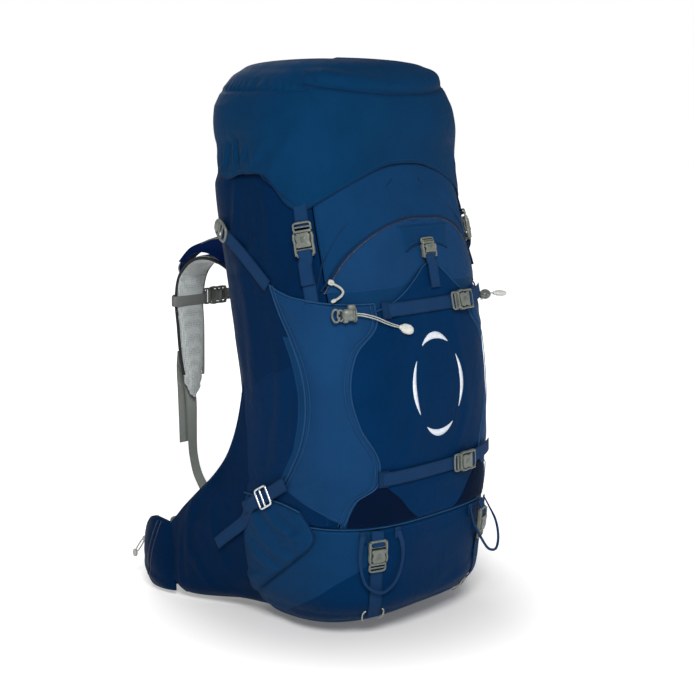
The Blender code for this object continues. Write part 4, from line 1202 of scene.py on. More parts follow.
def lid_tuck(bearing, z):
    """The lid drawn in to the bag above its rear hem: up to 12 mm, fading out by a height of 0.76."""
    b = np.abs(bearing)
    where = ramp(b, 80, 26) * fall(b, 174, 20)
    where = where * where * (3 - 2 * where)
    return -MM * (7.5 + 4.5 * ramp(z, 0.668, 0.03)) * where * fall(z, 0.765, 0.055)


def lid_relief(bearing, z):
    """Puff and tucks of the lid: a groove under the top pillow, gathers at its ends and hem pleats."""
    u, b = spread(bearing), np.abs(bearing)
    out = 0.9 * MM * ripple(u, z, 0.30, 21) + 0.3 * MM * ripple(u, z, 0.08, 22)
    out = out + 2.0 * MM * hill(z, 0.735, 0.035)
    out = out + 4.5 * MM * np.exp(-((bearing - 60) / 45) ** 2 - ((z - 0.815) / 0.016) ** 2)
    front = fall(b, 62, 12)
    line = 0.782 + 0.000004 * b ** 2
    out = out - 4.2 * MM * np.exp(-((z - line) / 0.0035) ** 2) * front
    out = out + 5.2 * MM * np.exp(-((z - line - 0.014) / 0.010) ** 2) * front
    corner = 58 + 300 * (z - 0.79)
    out = out - 3.0 * MM * hill(b, corner, 1.6) * hill(z, 0.797, 0.016)
    side = ramp(b, 58, 8) * fall(b, 128, 10)
    gather = np.sin(u * 2 * np.pi / 0.016 + 3 * np.sin(u * 61)) * hill(z, 0.793, 0.007)
    out = out + 1.0 * MM * gather * side - 2.4 * MM * hill(z, 0.787, 0.003) * side
    pleat = hill(z, 0.690, 0.016) * ramp(b, 78, 8) * fall(b, 116, 8)
    waves = np.sin(u * 2 * np.pi / 0.034 + 2.6 * np.sin(u * 37) + 90 * (z - 0.69))
    out = out + 2.2 * MM * pleat * (np.abs(waves) - 0.6)
    for sign in (-1, 1):
        out = out + folded(u * -sign, z, LID_FOLDS, 0.1)
    return out


def lid():
    """Lid pocket: floor, skirt lining, hem, skirt and dome in one closed surface between two poles."""
    turn = np.linspace(-180, 180, 361)[:-1]
    hem = smooth(np.abs(turn), HEM_AT, HEM_Z)
    share = np.linspace(0, 1, 26)[:, None]
    skirt_z = hem + (0.708 - hem) * share
    dome_z = np.linspace(0.7095, 0.829, 80)[:, None] + 0 * turn
    z = np.concatenate([skirt_z, dome_z])
    b = np.broadcast_to(turn, z.shape)
    run = np.maximum(z - hem, 0)
    out = lid_tuck(b, z) + lid_relief(b, z) * np.clip(run / 0.012, 0, 1)
    out = out + (2.9 - 2.0 * np.clip(run / 0.05, 0, 1)) * MM - 1.2 * MM * np.exp(-run / 0.002)
    outer = skin(LID, b, z, out)
    lining_z = skirt_z[::-1]
    lining = (0.9 - 3.0 * share[::-1]) * MM + lid_tuck(turn, lining_z)
    inner = skin(LID, np.broadcast_to(turn, lining_z.shape), lining_z, lining)
    top = outer[-1]
    middle = top.mean(0)
    scale = np.linspace(0.93, 0.06, 14)[:, None, None]
    cap = middle + (top - middle) * scale
    cap[..., 2] = top[:, 2] + (5.0 * MM) * (1 - scale[..., 0] ** 2)
    floor_middle = inner[0].mean(0)
    floor_middle[2] = LID_FLOOR
    floor = floor_middle + (inner[0] - floor_middle) * np.linspace(0.06, 0.96, 10)[:, None, None]
    floor[..., 2] = LID_FLOOR
    rings = np.concatenate([floor, inner, outer, cap])
    points, faces, _ = capped(rings, np.stack([floor_middle, middle + [0, 0, 5.2 * MM]]))
    uv = np.stack([spread(np.broadcast_to(turn, rings.shape[:2])), rings[..., 2] * 1.15], -1)
    seam = np.full_like(uv, 0.5)
    start = len(floor) + len(inner)
    seam[start:start + len(outer)] = np.stack([spread(b), run], -1)
    mesh = build_mesh("lid_shell", points, faces, uv, seam)
    piece("lid_shell", mesh, "lid", "lid", own="lid_shell")
    lid_seams(hem, turn)


def lid_line(name, bearing, z, out, finish, diameter):
    out = out + lid_relief(bearing, z) + lid_tuck(bearing, z)
    strand(name, skin(LID, bearing, z, out), normals(LID, bearing, z), circle(diameter, 8), finish, "lid",
           slot="lid_shell")


def lid_seams(hem, turn):
    order = np.argsort(turn)
    path = skin(LID, turn[order], hem[order] + 0.6 * MM, 1.7 * MM + lid_tuck(turn[order], hem[order]))
    strand("lid_hem", path, normals(LID, turn[order], hem[order]), circle(2.6 * MM, 8), "piping", "lid",
           closed=True, slot="lid_shell")
    bearing = np.linspace(-60, 60, 120)
    lid_line("lid_pillow_seam", bearing, 0.782 + 0.000004 * bearing ** 2, 1.2 * MM, "piping",
             diameter=1.6 * MM)
    for side, sign in SIDES:
        share = np.linspace(0, 1, 40)
        lid_line(f"lid_corner_seam_{side}", sign * (62 + 16 * share), 0.628 + 0.042 * share, 2.4 * MM,
                 "piping",
                 diameter=1.6 * MM)
        lid_line(f"lid_tuck_seam_{side}", sign * (60 - 6 * np.sin(share * np.pi)), 0.783 + 0.030 * share,
                 1.0 * MM,
                 "piping", diameter=1.4 * MM)


# ---- webbing and buckles ------------------------------------------------------------------------
WEB_T = 1.6 * MM
STRAP_LINE = 5.8 * MM
MALE_L, TONGUE_L, FEMALE_L = 13 * MM, 17 * MM, 34 * MM
BUCKLE_GAP = 0.6 * MM


def laid(route, out, count=40):
    """Path on the skin through (bearing, height) points, and the skin's normals along it."""
    bearing, z = np.array(route, float).T
    at, given = np.linspace(0, 1, count), np.linspace(0, 1, len(route))
    bearing, z = smooth(at, given, bearing), smooth(at, given, z)
    return skin(BODY, bearing, z, out), normals(BODY, bearing, z)


def strap_body(path, up, width=WEB, thick=WEB_T, low=0.0):
    """Webbing: a flat superellipse profile carried along its path, its underside at the path."""
    width, thick = (np.broadcast_to(v, len(path))[:, None] for v in (width, thick))
    a = np.linspace(0, 2 * np.pi, 24, endpoint=False)
    x = width / 2 * bent(np.cos(a), 0.25)
    y = thick / 2 * (1 + bent(np.sin(a), 0.5)) + low
    return carried(path, up, np.stack([x, y], -1))


def webbing(name, path, up, finish, body, width=WEB, thick=WEB_T, low=0.0, **place):
    return piece(name, build_mesh(name, *strap_body(path, up, width, thick, low)), finish, body, **place)


def into_plug(path, up, end, rise=3.4 * MM):
    """The strap led on to its plug's ladder bar: its path, normals and unit direction."""
    along = path[-1] - path[-2]
    along /= np.linalg.norm(along)
    bar = end + along * MALE_L * 0.42 + up[-1] * rise
    return np.concatenate([path, [bar]]), np.concatenate([up, up[-1:]]), along


def frame_loop(centre, axes, length, width, bar, power=5.0, count=40):
    """Closed frame of a buckle: a round bar led round a superellipse length by width."""
    a = np.linspace(0, 2 * np.pi, count, endpoint=False)
    x, y = length / 2 * bent(np.cos(a), 2 / power), width / 2 * bent(np.sin(a), 2 / power)
    path = centre + x[:, None] * axes[0] + y[:, None] * axes[1]
    return carried(path, axes[2], circle(bar, 8), closed=True)


def cross_bar(centre, axes, width, bar):
    path = centre + np.linspace(-0.5, 0.5, 6)[:, None] * width * axes[1]
    return carried(path, axes[2], circle(bar, 8))


def rounded_plate(axes, origin, outline, low, high, count=8):
    """Plate of an outline (along, across) between two heights, its rim rounded by a quarter circle."""
    outline = np.asarray(outline, float)
    middle = outline.mean(0)
    t = np.linspace(0, np.pi, count)
    rings = []
    reach = (high - low) / 2
    size = np.abs(outline - middle).max()
    for angle in t:
        shrink = 1 - reach * 0.8 * (1 - np.sin(angle)) / size
        flat = middle + (outline - middle) * shrink
        height = (low + high) / 2 - reach * np.cos(angle)
        rings.append(origin + flat[:, :1] * axes[0] + flat[:, 1:] * axes[1] + height * axes[2])
    rings = np.array(rings)
    return capped(rings, np.stack([rings[0].mean(0), rings[-1].mean(0)]))


def socket_body(mouth, along, up, k=1.0):
    """Female half: side rails, a domed sleeve between them, a window with a ladder bar, an open mouth."""
    axes = axes_of(along, up)
    low, high = BUCKLE_GAP, 10 * MM

    def at(y, z=5.2 * MM):
        return mouth + axes[0] * y + axes[2] * z

    parts = [frame_loop(at(FEMALE_L * k * 0.5 + 0.4 * MM, 4.6 * MM), axes, FEMALE_L * k - 5 * MM, 25.5 * MM,
                        3.6 * MM),
             cross_bar(at(FEMALE_L * k * 0.70, 5.6 * MM), axes, 24 * MM, 3.4 * MM),
             cross_bar(at(FEMALE_L * k - 2.4 * MM, 4.2 * MM), axes, 24 * MM, 3.8 * MM)]
    for side in (-1, 1):
        rail = np.stack([at(y, z) + axes[1] * side * x for y, z, x in (
            mm(0.6, 5.2, 12.4), (6 * MM * k, 5.4 * MM, 13.4 * MM), (14 * MM * k, 5.2 * MM, 12.6 * MM),
            (24 * MM * k, 4.8 * MM, 13.0 * MM), (31 * MM * k, 4.4 * MM, 12.6 * MM))])
        parts.append(carried(through(rail, 24), axes[2], oblong(3.4 * MM, 6.4 * MM, 3.0, 14)))
    outline = np.array([(0.8, -8.5), (0.4, 0), (0.8, 8.5), (6, 10.5), (12, 9), (19, 11), (20.5, 0),
                        (19, -11), (12, -9), (6, -10.5)]) * [MM * k, MM]
    ring = through(np.concatenate([outline, outline[:1]]), 61)[:-1]
    for floor, roof in ((low + 0.2 * MM, low + 2.4 * MM), (high - 2.4 * MM, high)):
        parts.append(rounded_plate(axes, mouth, ring, floor, roof))
    # Dark triangle laid on the sleeve's roof: painted shade standing for the sleeve's recess.
    tri = np.array([(6, -3.6), (6, 3.6), (15, 1.0), (15, -1.0)]) * [MM * k, MM]
    tri = through(np.concatenate([tri, tri[:1]]), 25)[:-1]
    inset = rounded_plate(axes, mouth, tri, high - 0.5 * MM, high + 0.25 * MM, 5)
    return parts, inset


def plug_body(end, along, up, k=1.0):
    """Male half: ladder frame with its bar, shoulder, guide tongue and two sprung arms with pads."""
    axes = axes_of(along, up)

    def at(y, z=5.2 * MM):
        return end + axes[0] * y + axes[2] * z

    male = MALE_L * k
    parts = [frame_loop(at(male * 0.42, 4.6 * MM), axes, male * 0.95, 24.5 * MM, 3.2 * MM),
             cross_bar(at(male * 0.42, 5.6 * MM), axes, 23 * MM, 2.6 * MM)]
    outline = np.array([(0, -12.5), (0, 12.5), (3.6, 13.2), (3.6, -13.2)]) * MM + [male - 3.2 * MM, 0]
    dense = np.concatenate([np.linspace(a, b, 8)[:-1] for a, b in zip(outline, np.roll(outline, -1, 0))])
    parts.append(rounded_plate(axes, end, dense, 2.4 * MM, 8.4 * MM))
    tongue = np.stack([at(male - 1 * MM), at(male + TONGUE_L * k * 0.5), at(male + TONGUE_L * k * 0.8)])
    parts.append(carried(through(tongue, 8), axes[2], oblong(5 * MM, 2.6 * MM, 3.0, 12)))
    return parts


def side_release(strap, female, end, along, up, body, k=1.0):
    """Both halves of a buckle: the male half on its strap's body, the female one on its own."""
    assemble(f"{female}_male", plug_body(end, along, up, k), "buckle", body, slot=strap)
    mouth = end + along * (MALE_L * k + 0.6 * MM)
    parts, inset = socket_body(mouth, along, up, k)
    assemble(f"{female}_half", parts, "buckle", female, own=female)
    # The dark triangle is painted shade for the recess in the sleeve.
    assemble(f"{female}_recess_shade", [inset], "dark_buckle", female, slot=female)
    return mouth


def crossing_straps():
    for name, z, start, stop in (("upper", 0.481, -31, 20), ("lower", 0.245, -38, 13)):
        path, up = laid([(start, z), ((start + stop) / 2, z), (stop, z)], STRAP_LINE, 70)
        path, up, along = into_plug(path, up, path[-1])
        webbing(f"{name}_strap", path, up, "webbing", "pack", own=f"{name}_strap")
        mouth = side_release(f"{name}_strap", f"{name}_buckle", path[-2], along, up[-1], "pack")
        anchor_patch(f"{name}_anchor", start + 0.5, z)
        far = mouth + along * FEMALE_L
        start_b = math.degrees(math.atan2(far[0], ROUND))
        run, out = laid([(start_b + 2, z), (start_b + 12, z + 0.003), (start_b + 24, z + 0.006)], STRAP_LINE,
                        30)
        bridge = np.stack([mouth + along * FEMALE_L * 0.70 + up[-1] * 6.8 * MM, far + up[-1] * 2.2 * MM])
        points = np.concatenate([bridge, run[4:]])
        dense = through(points, 50)
        face = np.concatenate([[up[-1], up[-1]], out[4:]])
        face = through(face, 50)
        webbing(f"{name}_anchor_strap", dense, face, "webbing", "pack", slot=f"{name}_strap")


def anchor_patch(name, bearing, z, height=24 * MM):
    """Folded end of a strap: a short raised patch of webbing."""
    left, right = ([(bearing + half, z + share * height) for share in (-0.5, 0, 0.5)]
                   for half in (-2.4, 2.4))
    panel(name, left, right, "webbing", lift=7.9 * MM, puff=0.2 * MM, low=5.6 * MM, roll=0.8 * MM, rows=16,
          cols=12, slot=f"{name.split('_')[0]}_strap")


def lid_straps():
    for side, sign in SIDES:
        bearing = sign * 61.0
        z = np.linspace(0.642, 0.604, 24)
        out = smooth(np.linspace(0, 1, 24), [0, 0.25, 0.5, 0.8, 1], np.array([1.2, 1.6, 2.8, 4.2, 4.4]) * MM)
        path, up = skin(BODY, bearing, z, out), normals(BODY, bearing, z)
        end = path[-1]
        path, up, along = into_plug(path, up, end)
        webbing(f"lid_strap_{side}", path, up, "webbing", "lid", own=f"lid_strap_{side}")
        mouth = side_release(f"lid_strap_{side}", f"lid_buckle_{side}", end, along, up[-1], "lid")
        tail_z = np.linspace(0.545, 0.520, 14)
        lift = np.linspace(5.0, 6.8, 14) * MM
        drop = skin(BODY, sign * 62.5, tail_z, relief(sign * 62.5, tail_z) + lift)
        bridge = np.stack([mouth + along * FEMALE_L * 0.70 + up[-1] * 6.8 * MM,
                           mouth + along * (FEMALE_L + 1 * MM) + up[-1] * 4.8 * MM])
        route = through(np.concatenate([bridge, drop]), 40)
        out = through(np.concatenate([[up[-1], up[-1]], normals(BODY, sign * 62.5, tail_z)]), 40)
        webbing(f"lid_buckle_tail_{side}", route, out, "webbing", f"lid_buckle_{side}",
                slot=f"lid_buckle_{side}")
        tail_z = np.linspace(0.532, 0.496, 20)
        route = skin(BODY, sign * 62.5, tail_z, relief(sign * 62.5, tail_z) + 2.2 * MM)
        out = normals(BODY, sign * 62.5, tail_z)
        webbing(f"lid_anchor_{side}", route, out, "webbing", "pack", slot=f"side_panel_{side}")


def flap():
    """Tongue of cloth under the arch: a thick sheet cut out round its buckle.
    Its lower edge is z = 0.5695 - 0.011 (across)^2, bound by a rolled rim of dark piping, which is also
    painted shadow under that edge."""
    u = np.linspace(-1, 1, 60)
    v = np.linspace(0, 1, 24)[:, None]
    bearing = 7.0 + u * (20.5 - 3.5 * v ** 2)
    z = 0.5940 + (0.5695 - 0.011 * u ** 2 - 0.5940) * v
    d, along = edge_distance(skin(BODY, bearing, z))
    ground = relief(bearing, z) + 4.8 * MM
    out = ground + 2.4 * MM * (1 - np.exp(-d / (1.2 * MM))) + 1.0 * MM * (1 - np.exp(-(d / 0.012) ** 2))
    sewn("pocket_flap", skin(BODY, bearing, z, out), skin(BODY, bearing, z, ground - 0.4 * MM),
         np.stack([spread(bearing), z], -1), np.stack([along, d], -1), "front", "flap", own="pocket_flap")
    edge = np.linspace(0, 1, 90)
    bearing = 7.0 + 17.4 * (2 * edge - 1)
    z = 0.5692 - 0.011 * (2 * edge - 1) ** 2
    path, up = skin(BODY, bearing, z, relief(bearing, z) + 6.0 * MM), normals(BODY, bearing, z)
    # Dark rim: partly the flap's binding, partly painted shadow under its lower edge.
    strand("flap_binding_shadow", path, up, oblong(2.0 * MM, 2.4 * MM, 2.4, 10), "piping", "flap",
           slot="pocket_flap")
    end, up = skin(BODY, 7.0, 0.574, 5.0 * MM), normals(BODY, 7.0, 0.574)
    before = skin(BODY, 7.0, 0.585, 5.0 * MM)
    along = (end - before) / np.linalg.norm(end - before)
    mouth = side_release("pocket_flap", "pocket_buckle", end, along, up, "flap", k=0.6)
    z = np.linspace(0.537, 0.504, 16)
    bridge = np.stack([mouth + along * FEMALE_L * 0.42 + up * 7.4 * MM,
                       mouth + along * FEMALE_L * 0.60 + up * 5 * MM])
    route = through(np.concatenate([bridge, skin(BODY, 8.0, z, relief(8.0, z) + 9.0 * MM)]), 40)
    out = through(np.concatenate([[up, up], normals(BODY, 8.0, z)]), 40)
    webbing("pocket_buckle_tail", route, out, "webbing", "pocket_buckle", slot="pocket_buckle")


def pad_straps():
    for side, sign in SIDES:
        z = np.linspace(0.026, 0.112, 40)
        path, up = skin(BODY, sign * 39.5, z, 1.4 * MM), normals(BODY, sign * 39.5, z)
        end = skin(BODY, sign * 39.5, 0.112, 0.6 * MM)
        path, up, along = into_plug(path, up, end, 4.0 * MM)
        webbing(f"pad_strap_{side}", path, up, "webbing", "pack", own=f"pad_strap_{side}")
        mouth = side_release(f"pad_strap_{side}", f"pad_buckle_{side}", end, along, up[-1], "pack")
        top = skin(BODY, sign * 39.5, 0.170, 2.2 * MM)
        route = through(np.stack([mouth + along * FEMALE_L * 0.70 + up[-1] * 6.4 * MM,
                                  mouth + along * (FEMALE_L + 1 * MM) + up[-1] * 2.4 * MM, top]), 20)
        webbing(f"pad_anchor_{side}", route, np.repeat(up[-1:], 20, 0), "webbing", "pack",
                slot=f"pad_strap_{side}")
        for bearing, tag in ((46, "outer"), (29, "inner")):
            route, out = laid([(sign * bearing, z) for z in (0.171, 0.163, 0.155)], 2.4 * MM, 12)
            name = f"tool_anchor_{tag}_{side}"
            webbing(name, route, out, "narrow", "pack", width=10 * MM, slot=f"pad_strap_{side}")
        turn = np.linspace(0, np.pi, 20)
        for shift, tag in ((-7.5, "outer"), (7.5, "inner")):
            centre = sign * (39.5 + shift * 0.55)
            bearing = centre + 1.6 * np.sin(turn) * (1 if shift * sign > 0 else -1)
            z = 0.030 + 0.013 * np.cos(turn)
            path = skin(BODY, bearing, z, 2.6 * MM)
            strand(f"pad_cord_{tag}_{side}", path, normals(BODY, bearing, z), circle(2.2 * MM, 8),
                   "grey_cord",
                   "pack", slot=f"pad_strap_{side}")


def across_hip(made):
    """Bakes the piece's transform into its mesh."""
    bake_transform(made)


def side_straps():
    """Upper side strap with its ladder lock, and the belt's stabiliser with its metal tri-glide."""
    for side, sign in SIDES:
        path, up = laid([(sign * 111, 0.586), (sign * 98, 0.556), (sign * 84, 0.514)], 3.6 * MM, 40)
        webbing(f"side_strap_{side}", path, up, "webbing", "pack", own=f"side_strap_{side}")
        axes = axes_of(path[4] - path[0], up[0])
        centre = path[0] + up[0] * 3.4 * MM
        lock = [frame_loop(centre, axes, 34 * MM, 25 * MM, 4.2 * MM, power=3.0),
                cross_bar(centre + axes[0] * 4 * MM, axes, 24 * MM, 3.4 * MM),
                cross_bar(centre - axes[0] * 5 * MM, axes, 24 * MM, 3.4 * MM),
                lump(centre - axes[0] * 12 * MM + up[0] * 1.5 * MM, mm(6, 9, 2.2), 3.0, 9, 16, axes)]
        assemble(f"side_lock_{side}", lock, "buckle", "pack", slot=f"side_strap_{side}")
        path, up = laid([(sign * 81.5, 0.233), (sign * 95, 0.205), (sign * 110, 0.176)],
                        STRAP_LINE + 2.4 * MM, 60)
        webbing(f"stabiliser_{side}", path, up, "webbing", "pack", own=f"stabiliser_{side}")
        middle = 30
        low = np.array([(-0.1838, 0.0361, 0.1519), (-0.1857, 0.057, 0.1353), (-0.1885, 0.0756, 0.1205),
                        (-0.1917, 0.0884, 0.1089)])
        mirror = np.array([-sign, 1, 1])
        tail = through(np.concatenate([path[[39, 43]] + up[[39, 43]] * 1.8 * MM, low * mirror]), 50)
        face = through(np.concatenate([up[[39, 43]], np.tile(np.array([-1, 0.12, 0.05]) * mirror, (4, 1))]),
                       50)
        lower = webbing(f"stabiliser_tail_{side}", tail, face, "webbing", None, slot=f"stabiliser_{side}")
        across_hip(lower)
        axes = axes_of(path[middle + 1] - path[middle], up[middle])
        centre = path[middle] + up[middle] * 1.6 * MM
        glide = [frame_loop(centre, axes, 27 * MM, 29 * MM, 3.2 * MM, power=8.0),
                 cross_bar(centre + up[middle] * 1.4 * MM, axes, 28 * MM, 3.0 * MM)]
        assemble(f"stabiliser_glide_{side}", glide, "silver", "pack", slot=f"stabiliser_{side}")


def zip_pull():
    """Bent cord tail with a moulded end, hooked from the arch zip's slider."""
    turn = np.linspace(0, 1, 40)
    bearing = -53.6 + 4.2 * np.sin(turn * np.pi) ** 0.9
    z = 0.523 - 0.0245 * turn
    path, up = skin(BODY, bearing, z, 7.4 * MM), normals(BODY, bearing, z)
    slider = skin(BODY, -53.4, 0.5235, 6.2 * MM)
    axes = axes_of(path[2] - path[0], up[0])
    parts = [carried(path, up, circle(3.4 * MM, 10)), lump(slider, mm(4.4, 4, 2.4), 3.2, 9, 14, axes),
             lump(path[-1], mm(4, 2.6, 2.2), 2.6, 9, 12, axes_of(path[-1] - path[-3], up[-1]))]
    assemble("zip_pull", parts, "grey_cord", "zip_pull", own="zip_pull")


# ---- harness ------------------------------------------------------------------------------------
SHOULDER = [(0.144, 0.506), (0.168, 0.522), (0.200, 0.530), (0.233, 0.524), (0.260, 0.500), (0.270, 0.460),
            (0.264, 0.415), (0.257, 0.370), (0.248, 0.330), (0.240, 0.300)]
SHOULDER_DRIFT = [-14, -10, -6, -3, 0, 2, 5, 9, 13, 16]
SHOULDER_WIDE = [56, 60, 62, 62, 62, 60, 58, 54, 46, 30]
SHOULDER_THICK = [9, 12, 13, 13, 13, 13, 13, 12, 10, 7]
STRAP_X = 90 * MM
LIFTER = [(0.277, 0.490), (0.286, 0.506), (0.266, 0.528), (0.238, 0.544), (0.208, 0.555), (0.186, 0.562)]
LOWER = [(0.2655, 0.372), (0.2635, 0.355), (0.258, 0.325), (0.254, 0.290), (0.253, 0.245), (0.250, 0.200),
         (0.240, 0.172), (0.224, 0.152)]
STERNUM_Z = 0.456


def in_plane(path):
    """Directions across the pad's thickness for a path that bends in the side view."""
    along = np.gradient(np.asarray(path, float), axis=0)
    up = np.stack([0 * along[:, 0], -along[:, 2], along[:, 1]], 1)
    return up / np.linalg.norm(up, axis=1, keepdims=True)


def inflate(name, mesh, voxel, cap):
    """Cloth run on a remeshed copy: pressure swells the pad, no point moves further than the cap.
"""
    scene = bpy.context.scene
    obj = bpy.data.objects.new(name + "_work", mesh)
    scene.collection.objects.link(obj)
    remesh = obj.modifiers.new("remesh", "REMESH")
    remesh.mode, remesh.voxel_size, remesh.use_smooth_shade = "VOXEL", voxel, True
    graph = bpy.context.evaluated_depsgraph_get()
    work = bpy.data.meshes.new_from_object(obj.evaluated_get(graph))
    obj.modifiers.clear()
    obj.data = work
    count = len(work.vertices)
    start = np.zeros(count * 3)
    work.vertices.foreach_get("co", start)
    start = start.reshape(-1, 3)
    soft = obj.modifiers.new("cloth", "CLOTH")
    soft.settings.quality = 4
    soft.settings.use_pressure = True
    soft.settings.uniform_pressure_force = 4.0
    soft.settings.effector_weights.gravity = 0
    soft.settings.tension_stiffness = soft.settings.compression_stiffness = 12
    soft.settings.bending_stiffness = 1.5
    for step in range(1, 21):
        scene.frame_set(step)
    graph = bpy.context.evaluated_depsgraph_get()
    made = bpy.data.meshes.new_from_object(obj.evaluated_get(graph))
    end = np.zeros(count * 3)
    made.vertices.foreach_get("co", end)
    move = end.reshape(-1, 3) - start
    far = np.linalg.norm(move, axis=1, keepdims=True)
    end = start + move * np.minimum(1, cap / np.maximum(far, 1e-9))
    made.vertices.foreach_set("co", end.ravel())
    made.polygons.foreach_set("use_smooth", np.ones(len(made.polygons), bool))
    made.update()
    made.name = name
    scene.frame_set(1)
    bpy.data.objects.remove(obj, do_unlink=True)
    return made


def shoulder_straps():
    for side, sign in SIDES:
        given = np.array([(sign * (STRAP_X + d * MM), y, z) for d, (y, z) in zip(SHOULDER_DRIFT, SHOULDER)])
        path = through(given, 90)
        at = np.linspace(0, 9, 90)
        wide = smooth(at, range(10), SHOULDER_WIDE) * MM
        thick = smooth(at, range(10), SHOULDER_THICK) * MM
        wide = wide * np.sqrt(np.clip(np.minimum(1, (90 - np.arange(90)) / 7.0), 0.15, 1))
        up = in_plane(path)
        profile = oblong(1.0, 1.0, 2.7, 28)
        shape = profile[None] * np.stack([wide - 2 * MM, thick - 3 * MM], -1)[:, None]
        points, faces, uv = carried(path, up, shape)
        name = f"shoulder_strap_{side}"
        mesh = inflate(name, build_mesh(name, points, faces, uv), voxel=4.5 * MM, cap=3.2 * MM)
        pad = piece(name, mesh, "knit", "harness", own=name)
        smoother(pad)
        for edge in (-1, 1):
            shift = np.stack([edge * (wide / 2 - 3.6 * MM), 0 * wide], -1)[:80, None]
            tag, finish = ("inner", "grey_web") if edge * sign < 0 else ("outer", "binding")
            rim = carried(path[:80], up[:80], circle(3.6 * MM, 10)[None] * [1.3, 1.4] + shift)
            assemble(f"shoulder_binding_{tag}_{side}", [rim], finish, "harness", slot=name)
        lifter(side, sign)
        harness_gusset(side, sign)
        lower_webbing(side, sign)
    sternum()


def smoother(obj):
    made = obj.modifiers.new("finish", "SUBSURF")
    made.levels = made.render_levels = 1


def across_harness(piece_made):
    """Bakes the piece's transform into its mesh."""
    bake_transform(piece_made)


def lifter(side, sign):
    """Load lifter: broad where it is sewn to the bag, narrow at the pad, with a pale bound edge."""
    given = [(sign * STRAP_X, y, z) for y, z in LIFTER + [(0.160, 0.566)]]
    path = through(given, 70)
    up = in_plane(path)
    width = smooth(np.linspace(0, 1, 70), [0, 0.25, 0.55, 1], [20 * MM, 21 * MM, 38 * MM, 52 * MM])
    name = f"lifter_{side}"
    across_harness(webbing(name, path, up, "webbing_plain", None, width, own=name))
    for edge, tag in ((-1, "a"), (1, "b")):
        rim = circle(2.2 * MM, 8)[None] + np.stack([edge * (width / 2 + 0.2 * MM), 0 * width], -1)[:, None]
        across_harness(strand(f"lifter_trim_{tag}_{side}", path + up * 0.8 * MM, up, rim, "grey_web", None,
                              slot=name))


def harness_gusset(side, sign):
    """Cloth between the pad's back and its load lifter: ruled from one curve to the other, with sag."""
    x = sign * (STRAP_X + 24 * MM)
    low = through(np.array([(0.150, 0.520), (0.168, 0.530), (0.200, 0.539), (0.233, 0.534), (0.262, 0.512)]),
                  50)
    high = through(np.array([(0.150, 0.572), (0.186, 0.562), (0.208, 0.555), (0.238, 0.544),
                             (0.268, 0.520)]), 50)
    v = np.linspace(0, 1, 16)[:, None, None]
    flat = low + (high - low) * v
    inward = 6 * MM * np.sin(np.pi * v[..., 0]) + 0 * flat[..., 0]
    grid = np.concatenate([(x - sign * inward)[..., None], flat], -1)
    across_harness(sewn(f"harness_gusset_{side}", grid, grid - [sign * 1.2 * MM, 0, 0], grid[..., 1:], None,
                        "webbing_plain", None, slot=f"shoulder_strap_{side}"))


def lower_webbing(side, sign):
    """Adjusting strap: ladder lock on the pad's end, webbing down to the bag's foot and its free end."""
    x = sign * (STRAP_X + 14 * MM)
    given = [(x, y, z) for y, z in LOWER] + [(x * 1.04, 0.196, 0.124), (x * 1.10, 0.160, 0.108),
                                             (x * 1.13, 0.130, 0.100)]
    path = through(given, 100)
    up = in_plane(path)
    twist = 0.18 * np.sin(np.linspace(0, 1, 100) * 9.0)
    side_way = np.cross(np.gradient(path, axis=0), up)
    side_way /= np.linalg.norm(side_way, axis=1, keepdims=True)
    name = f"lower_webbing_{side}"
    made = webbing(name, path, up + side_way * twist[:, None], "grey_web", None, own=name)
    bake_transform(made)
    axes = axes_of(path[6] - path[0], up[3])
    centre = path[3] + up[3] * 3 * MM
    lock = [frame_loop(centre, axes, 26 * MM, 27 * MM, 4.2 * MM, power=4.0),
            cross_bar(centre, axes, 25 * MM, 3.6 * MM),
            lump(centre + axes[0] * 13 * MM + up[3] * 3 * MM, mm(6, 12, 2.4), 3.2, 9, 16, axes)]
    assemble(f"lower_lock_{side}", lock, "dark_buckle", "harness", slot=name)
    tail = np.array([(0.2700, 0.374), (0.2730, 0.350), (0.2715, 0.310), (0.2700, 0.260), (0.2690, 0.222)])
    route = through(np.c_[np.full(5, x + sign * 4 * MM), tail], 60)
    free = webbing(f"lower_tail_{side}", route, in_plane(route), "grey_web", "harness", WEB * 0.96,
                   slot=name)


